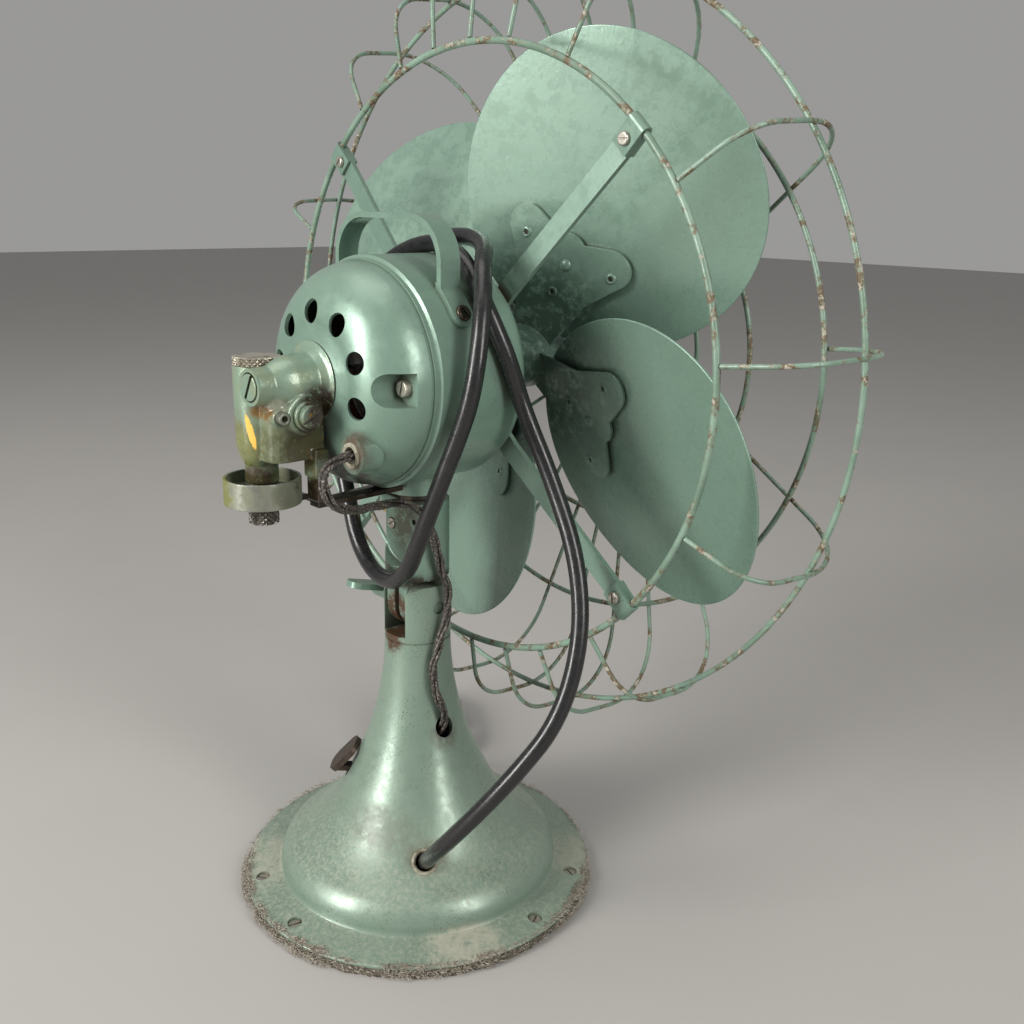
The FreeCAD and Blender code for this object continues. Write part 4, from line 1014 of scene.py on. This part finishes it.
def makeBlade(index):
    bm = bmesh.new()
    bmesh.ops.create_circle(bm, cap_ends=True, segments=144, radius=1)
    for i in range(9):
        middle = [face for face in bm.faces if len(face.verts) > 4]
        bmesh.ops.inset_region(bm, faces=middle, thickness=0.02 if i == 0 else 0.1, depth=0)
    for vert in bm.verts:
        x = bladeOval["out"] + bladeOval["halfLength"] * vert.co.x
        v = bladeOval["up"] + bladeOval["halfWidth"] * vert.co.y
        vert.co = mm(x, camberAt(v), headHeight + v)
    bmesh.ops.recalc_face_normals(bm, faces=bm.faces)
    moved(bm, clock(bladeAngle + 90 * index))
    for face in bm.faces:
        face.smooth = True
    piece = newObject("blade" + str(index + 1), bm)
    sheet = piece.modifiers.new("sheet", "SOLIDIFY")
    sheet.thickness = bladeOval["thick"] * 0.001
    sheet.offset = 0
    soften(piece, 0.4, 3, 50)
    return settle(piece, "bladeEnamel", "rotor", ["blade_" + str(index + 1)])


for index in range(4):
    makeBlade(index)
smoothPiece("fanHub", "fan_hub", "bladeEnamel", "rotor", 0.35, 2)
smoothPiece("rotorShaft", "rotor_shaft", "brightSteel", "rotor", 0.3)


def makeRivets():  # hollow rivets with one solid rivet beside them on each arm, and dark discs of painted shade in the hollow rivets' bores
    hollow, solid = [], []
    for index in range(4):
        for x, v, group in ((57.5, -21, hollow), (58, 24, hollow), (53, 2.5, solid), (38, 1.5, hollow)):
            lift = camberAt(v, 2.2)
            normal = Vector((0, lift - camberY, v - camberZ))
            group.append(clock(bladeAngle + 90 * index) @ lean(mm(x, lift, headHeight + v), normal))
    heads, boreShade = bmesh.new(), bmesh.new()
    stamp(heads, standing([(1.15, -0.2), (1.15, 0.45), (1.55, 0.75), (2.25, 0.6), (2.7, 0.1), (2.7, -0.2)],
                          closed=True, steps=24), hollow)
    stamp(heads, standing([(0, 1.5), (1.6, 1.25), (2.6, 0.6), (3.0, -0.2), (0, -0.2)], steps=24), solid)
    # dark discs in the hollow rivets' bores: painted shade
    stamp(boreShade, standing([(0, 0.12), (1.2, 0.12), (1.2, -0.1), (0, -0.1)], steps=24), hollow)
    shade(heads, 60)
    settle(newObject("rivetBoreShade", boreShade), "oilySteel", "rotor")
    return settle(newObject("bladeRivets", heads), "bladeEnamel", "rotor")


makeRivets()
print("fan ready")


# Guard

ringSteps = 288
wireAngles = [(centre - 6 + side * offset, True) for centre in (90, 270) for offset in (5, 15, 29.5)
              for side in (-1, 1)]
wireAngles += [(centre - 6 + offset, True) for centre in (0, 180) for offset in (-29.5, 29.5)]
wireAngles += [(-6, False), (174, False)]  # these end at the first front ring


def filletedLine(points, radii, steps=10):
    line = [Vector(points[0])]
    for i, radius in enumerate(radii, 1):
        spot = Vector(points[i])
        before = (Vector(points[i - 1]) - spot).normalized()
        after = (Vector(points[i + 1]) - spot).normalized()
        half = before.angle(after) / 2
        reach = radius / math.tan(half)
        inward = (before + after).normalized()
        centre = spot + inward * radius / math.sin(half)
        start, end = spot + before * reach - centre, spot + after * reach - centre
        start, end = start.normalized(), end.normalized()
        line += [centre + start.slerp(end, k / steps) * radius for k in range(steps + 1)]
    return line + [Vector(points[-1])]


def guardWire(full):
    points = [(-34.1, 144.4, 0), (-38.5, 179.37, 0), (-105.7, 187.57, 0), (-134.0, 91.87, 0),
              (-139.67, 55.35, 0)]
    radii = [22, 40, 40]
    if not full:
        share = (points[2][1] - 138.5) / (points[2][1] - points[3][1])
        points = points[:3] + [(points[2][0] + share * (points[3][0] - points[2][0]), 138.5, 0)]
        radii = radii[:2]
    return [mm(v.y, v.x, headHeight) for v in filletedLine(points, radii)]


def makeGuard():
    bm = bmesh.new()
    for angle, full in wireAngles:
        wireInto(bm, guardWire(full), 1.08, matrix=clock(angle))
    settle(newObject("guardWires", tidyMesh(bm)), "guardEnamel", "head", ["guard_wires"])
    rings = {
        "guardRearRing": ([(-34.1, 142.6)], 1.62, ["guard_rear_ring"]),
        "guardOuterRing": ([(-77.1, 181.6)], 1.33, ["guard_outer_ring"]),
        "guardFrontRings": ([(-116.7, 141.5), (-131.0, 93.7), (-136.9, 58.35)], 1.33, ["guard_front_rings"]),
    }
    for name, (spots, radius, nodes) in rings.items():
        bm = bmesh.new()
        for y, out in spots:
            turns = [around(out, k * 360 / ringSteps) for k in range(ringSteps)]
            wireInto(bm, [mm(x, y, headHeight + z) for x, z in turns], radius, True)
        settle(newObject(name, tidyMesh(bm)), "guardEnamel", "head", nodes)


makeGuard()
smoothPiece("guardStruts", "guard_struts", "neckEnamel", "head", 0.35)
strutSpots = []
for i, angle in enumerate((133, 43, 223, 313)):
    centre = clock(angle) @ mm(135.6, -31.1, headHeight)
    strutSpots.append((centre * 1000, (0, 1, 0), 50 * i))
screwHeads("guardScrews", strutSpots, {"radius": 2.75, "height": 1.7, "dome": 0.7, "slot": 0.8, "depth": 0.6},
           "screwSteel", "head", ["guard_screws"])
print("guard ready")


# Cords

def cordLine(points):  # the smooth line that a cord's straight runs and bends follow
    data = curveLine([mm(*point) for point in points], kind="NURBS")
    spline = data.splines[0]
    spline.order_u = 3
    spline.use_endpoint_u = True
    spline.resolution_u = 10
    mesh = meshOf(data)
    return [vert.co.copy() for vert in mesh.vertices]


def lengthOf(line):
    return sum((b - a).length for a, b in zip(line, line[1:]))


def rubberCord(name, points, node, body):
    line = cordLine(points)
    bm = bmesh.new()
    wireInto(bm, line, 3.88, resolution=5)
    piece = newObject(name, tidyMesh(bm))
    piece.data.materials.append(finishes["cordRubber"])
    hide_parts(node)
    if isinstance(body, str):
        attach(piece, body)
    else:
        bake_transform(piece)
    print(name, "length", round(lengthOf(line), 4))
    return piece


riserLine = [
    eyeletLine(-12, 0)[0], eyeletLine(0, 15.3)[1], (-73, 33, 70.6), (-90.7, 20, 98.3),
    (-100.4, 3, 123.1), (-99.7, -10, 156.5), (-94.9, -13, 172.9),
]
wrapLine = [
    (-94.9, -13, 172.9), (-90.2, -16, 189.2), (-71.4, -18, 220.9), (-56.2, -13.5, 252),
    (-55.8, -5.5, 273), (-48.6, 1, 294), (-30, -4, 312.5), (-5, -11, 320), (22, -12, 315.8),
    (43, -7, 301), (55.5, -1, 278), (57.5, 7, 253), (50.5, 12, 231), (40, 14.5, 211),
    (31.5, 16.5, 193), (22.5, 19, 177), (6.5, 22, 166.5), (-12, 25, 166.5), (-27.5, 28, 177),
    (-36.5, 29.5, 192), (-43.5, 28.5, 208), (-49.5, 26, 225), (-55, 23, 241), (-60.5, 20.3, 259),
    (-61.5, 17, 280), (-55, 9, 299.5), (-44.5, 0, 312), (-31, -14, 319), (-12, -22, 322.5),
    (12, -23, 320.5), (36, -20.5, 308.5), (52.5, -16, 287), (58, -10.5, 262), (53, -6, 237),
    (41, -7, 215), (27, -12, 196), (16, -17.5, 179), (13.5, -18.2, 168),
]


hankTurn = -39.15
foldRadius = 25.2


def hankSpot(along, aside, height):
    turn = math.radians(hankTurn)
    return (along * math.cos(turn) - aside * math.sin(turn), along * math.sin(turn) + aside * math.cos(turn),
            height)


def foldSpots(centre, angles, height):
    spots = []
    for angle in angles:
        along, aside = around(foldRadius / math.cos(math.radians(22.5)), angle)
        spots.append(hankSpot(centre + along, aside, height))
    return spots


def hankLine():
    away = [67.5, 22.5, -22.5, -67.5]
    spots = [dropLine[-1], hankSpot(131.5, 19.5, 16.2), hankSpot(141.2, 24.3, 15.2)]
    spots += foldSpots(152, away, 12.9) + [hankSpot(137, -25.6, 12.9)]
    spots += foldSpots(122, [angle - 180 for angle in away], 12.9) + [hankSpot(137, 25.6, 8.525)]
    spots += foldSpots(152, away + [-112.5], 4.15)
    x, y = around(14, hankTurn + 150)
    return spots + [(spots[-1][0] + x, spots[-1][1] + y, 4.15)]


dropLine = [
    (13.5, -18.2, 168), (11, -18.9, 157), (10.6, -18.7, 136), (13.5, -19.5, 114), (18.5, -22.6, 93),
    (25, -27.5, 74), (34, -35.5, 56), (45.5, -46.5, 39.5), (60, -57, 28.5),
    hankSpot(100.8, 2.5, 22.5), hankSpot(112.5, 10.3, 18.0), hankSpot(122.0, 14.9, 17.1),
]
plugPiece = smoothPiece("powerPlug", "power_plug", "cordRubber", "base", 0.8, 3)
rubberCord("cordRiser", riserLine, "power_cord_riser", ("base", "yoke", mm(-90, 20, 105), mm(-97, -8, 165)))
rubberCord("cordWrap", wrapLine, "power_cord_wrap", ("yoke", "head", mm(-60, 0, 178), mm(-60, 0, 240)))
rubberCord("cordDrop", dropLine, "power_cord_drop", ("base", "yoke", mm(20, -20, 85), mm(12, -18, 160)))
rubberCord("cordHank", hankLine(), "power_cord_coil", "base")


def wireBundle(name, points, node, count, lay):
    line = cordLine(points)
    bm = bmesh.new()
    rng = random.Random(len(points))
    for strand in range(count):
        phase = math.tau * strand / count
        spots, travelled = [], 0.0
        side = Vector((0, 0, 1))
        for i, spot in enumerate(line):
            ahead = (line[min(i + 1, len(line) - 1)] - line[max(i - 1, 0)]).normalized()
            side = (side - ahead * side.dot(ahead)).normalized()
            other = ahead.cross(side)
            if i:
                travelled += (spot - line[i - 1]).length
            turn = phase + travelled / lay * math.tau
            out = 0.00125 + 0.00045 * math.sin(travelled * 170 + strand * 2)
            spots.append(spot + (side * math.cos(turn) + other * math.sin(turn)) * out)
        wireInto(bm, spots, 0.92, resolution=2)
        for i in range(len(spots) - 3):
            if rng.random() < 0.25:
                thread(bm, [spots[i] + Vector([rng.uniform(-1, 1) * 0.0010 for _ in range(3)]),
                            spots[i + 2] + Vector([rng.uniform(-1, 1) * 0.0013 for _ in range(3)])], 0.00008)
    piece = newObject(name, tidyMesh(bm))
    settle(piece, "braid", None, [node])
    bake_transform(piece)
    return piece


highLine = [
    (-27, 51, 235), (-28, 65, 235), (-32, 76, 231), (-34.5, 74.5, 219), (-30, 61, 212), (-24.5, 47, 210),
    (-19.5, 34, 208.5), (-17, 21, 206.5), (-18, 10.5, 199), (-19.3, 6, 187), (-19.7, 4.5, 180),
]
lowLine = [
    (-19.7, 4.5, 180), (-20.2, 2, 170), (-20.6, -2.5, 158), (-20.4, -1, 145), (-20, 4, 131),
    (-19.8, 7.8, 118), (-22.6, 6.2, 106), (-25.4, 3.6, 97), (-22.7, 1.7, 88.5), (-15, 0.8, 81),
]
wireBundle("headWiresHigh", highLine, "head_wires_high", 4, 0.075)
wireBundle("headWiresLow", lowLine, "head_wires_low", 3, 0.048)

insideLooks = {
    "base_plate": "plateSteel", "speed_coil": "copper", "switch_body": "fibre", "stator_core": "sheetSteel",
    "windings": "copper", "front_bearing": "oldBrass", "rear_bearing": "oldBrass", "rotor_core": "sheetSteel",
    "cross_shaft": "brightSteel", "crank_spindle": "brightSteel",
}
for node, look in insideLooks.items():
    fkNodes[node].data.materials.clear()
    fkNodes[node].data.materials.append(finishes[look])

print("cords ready")
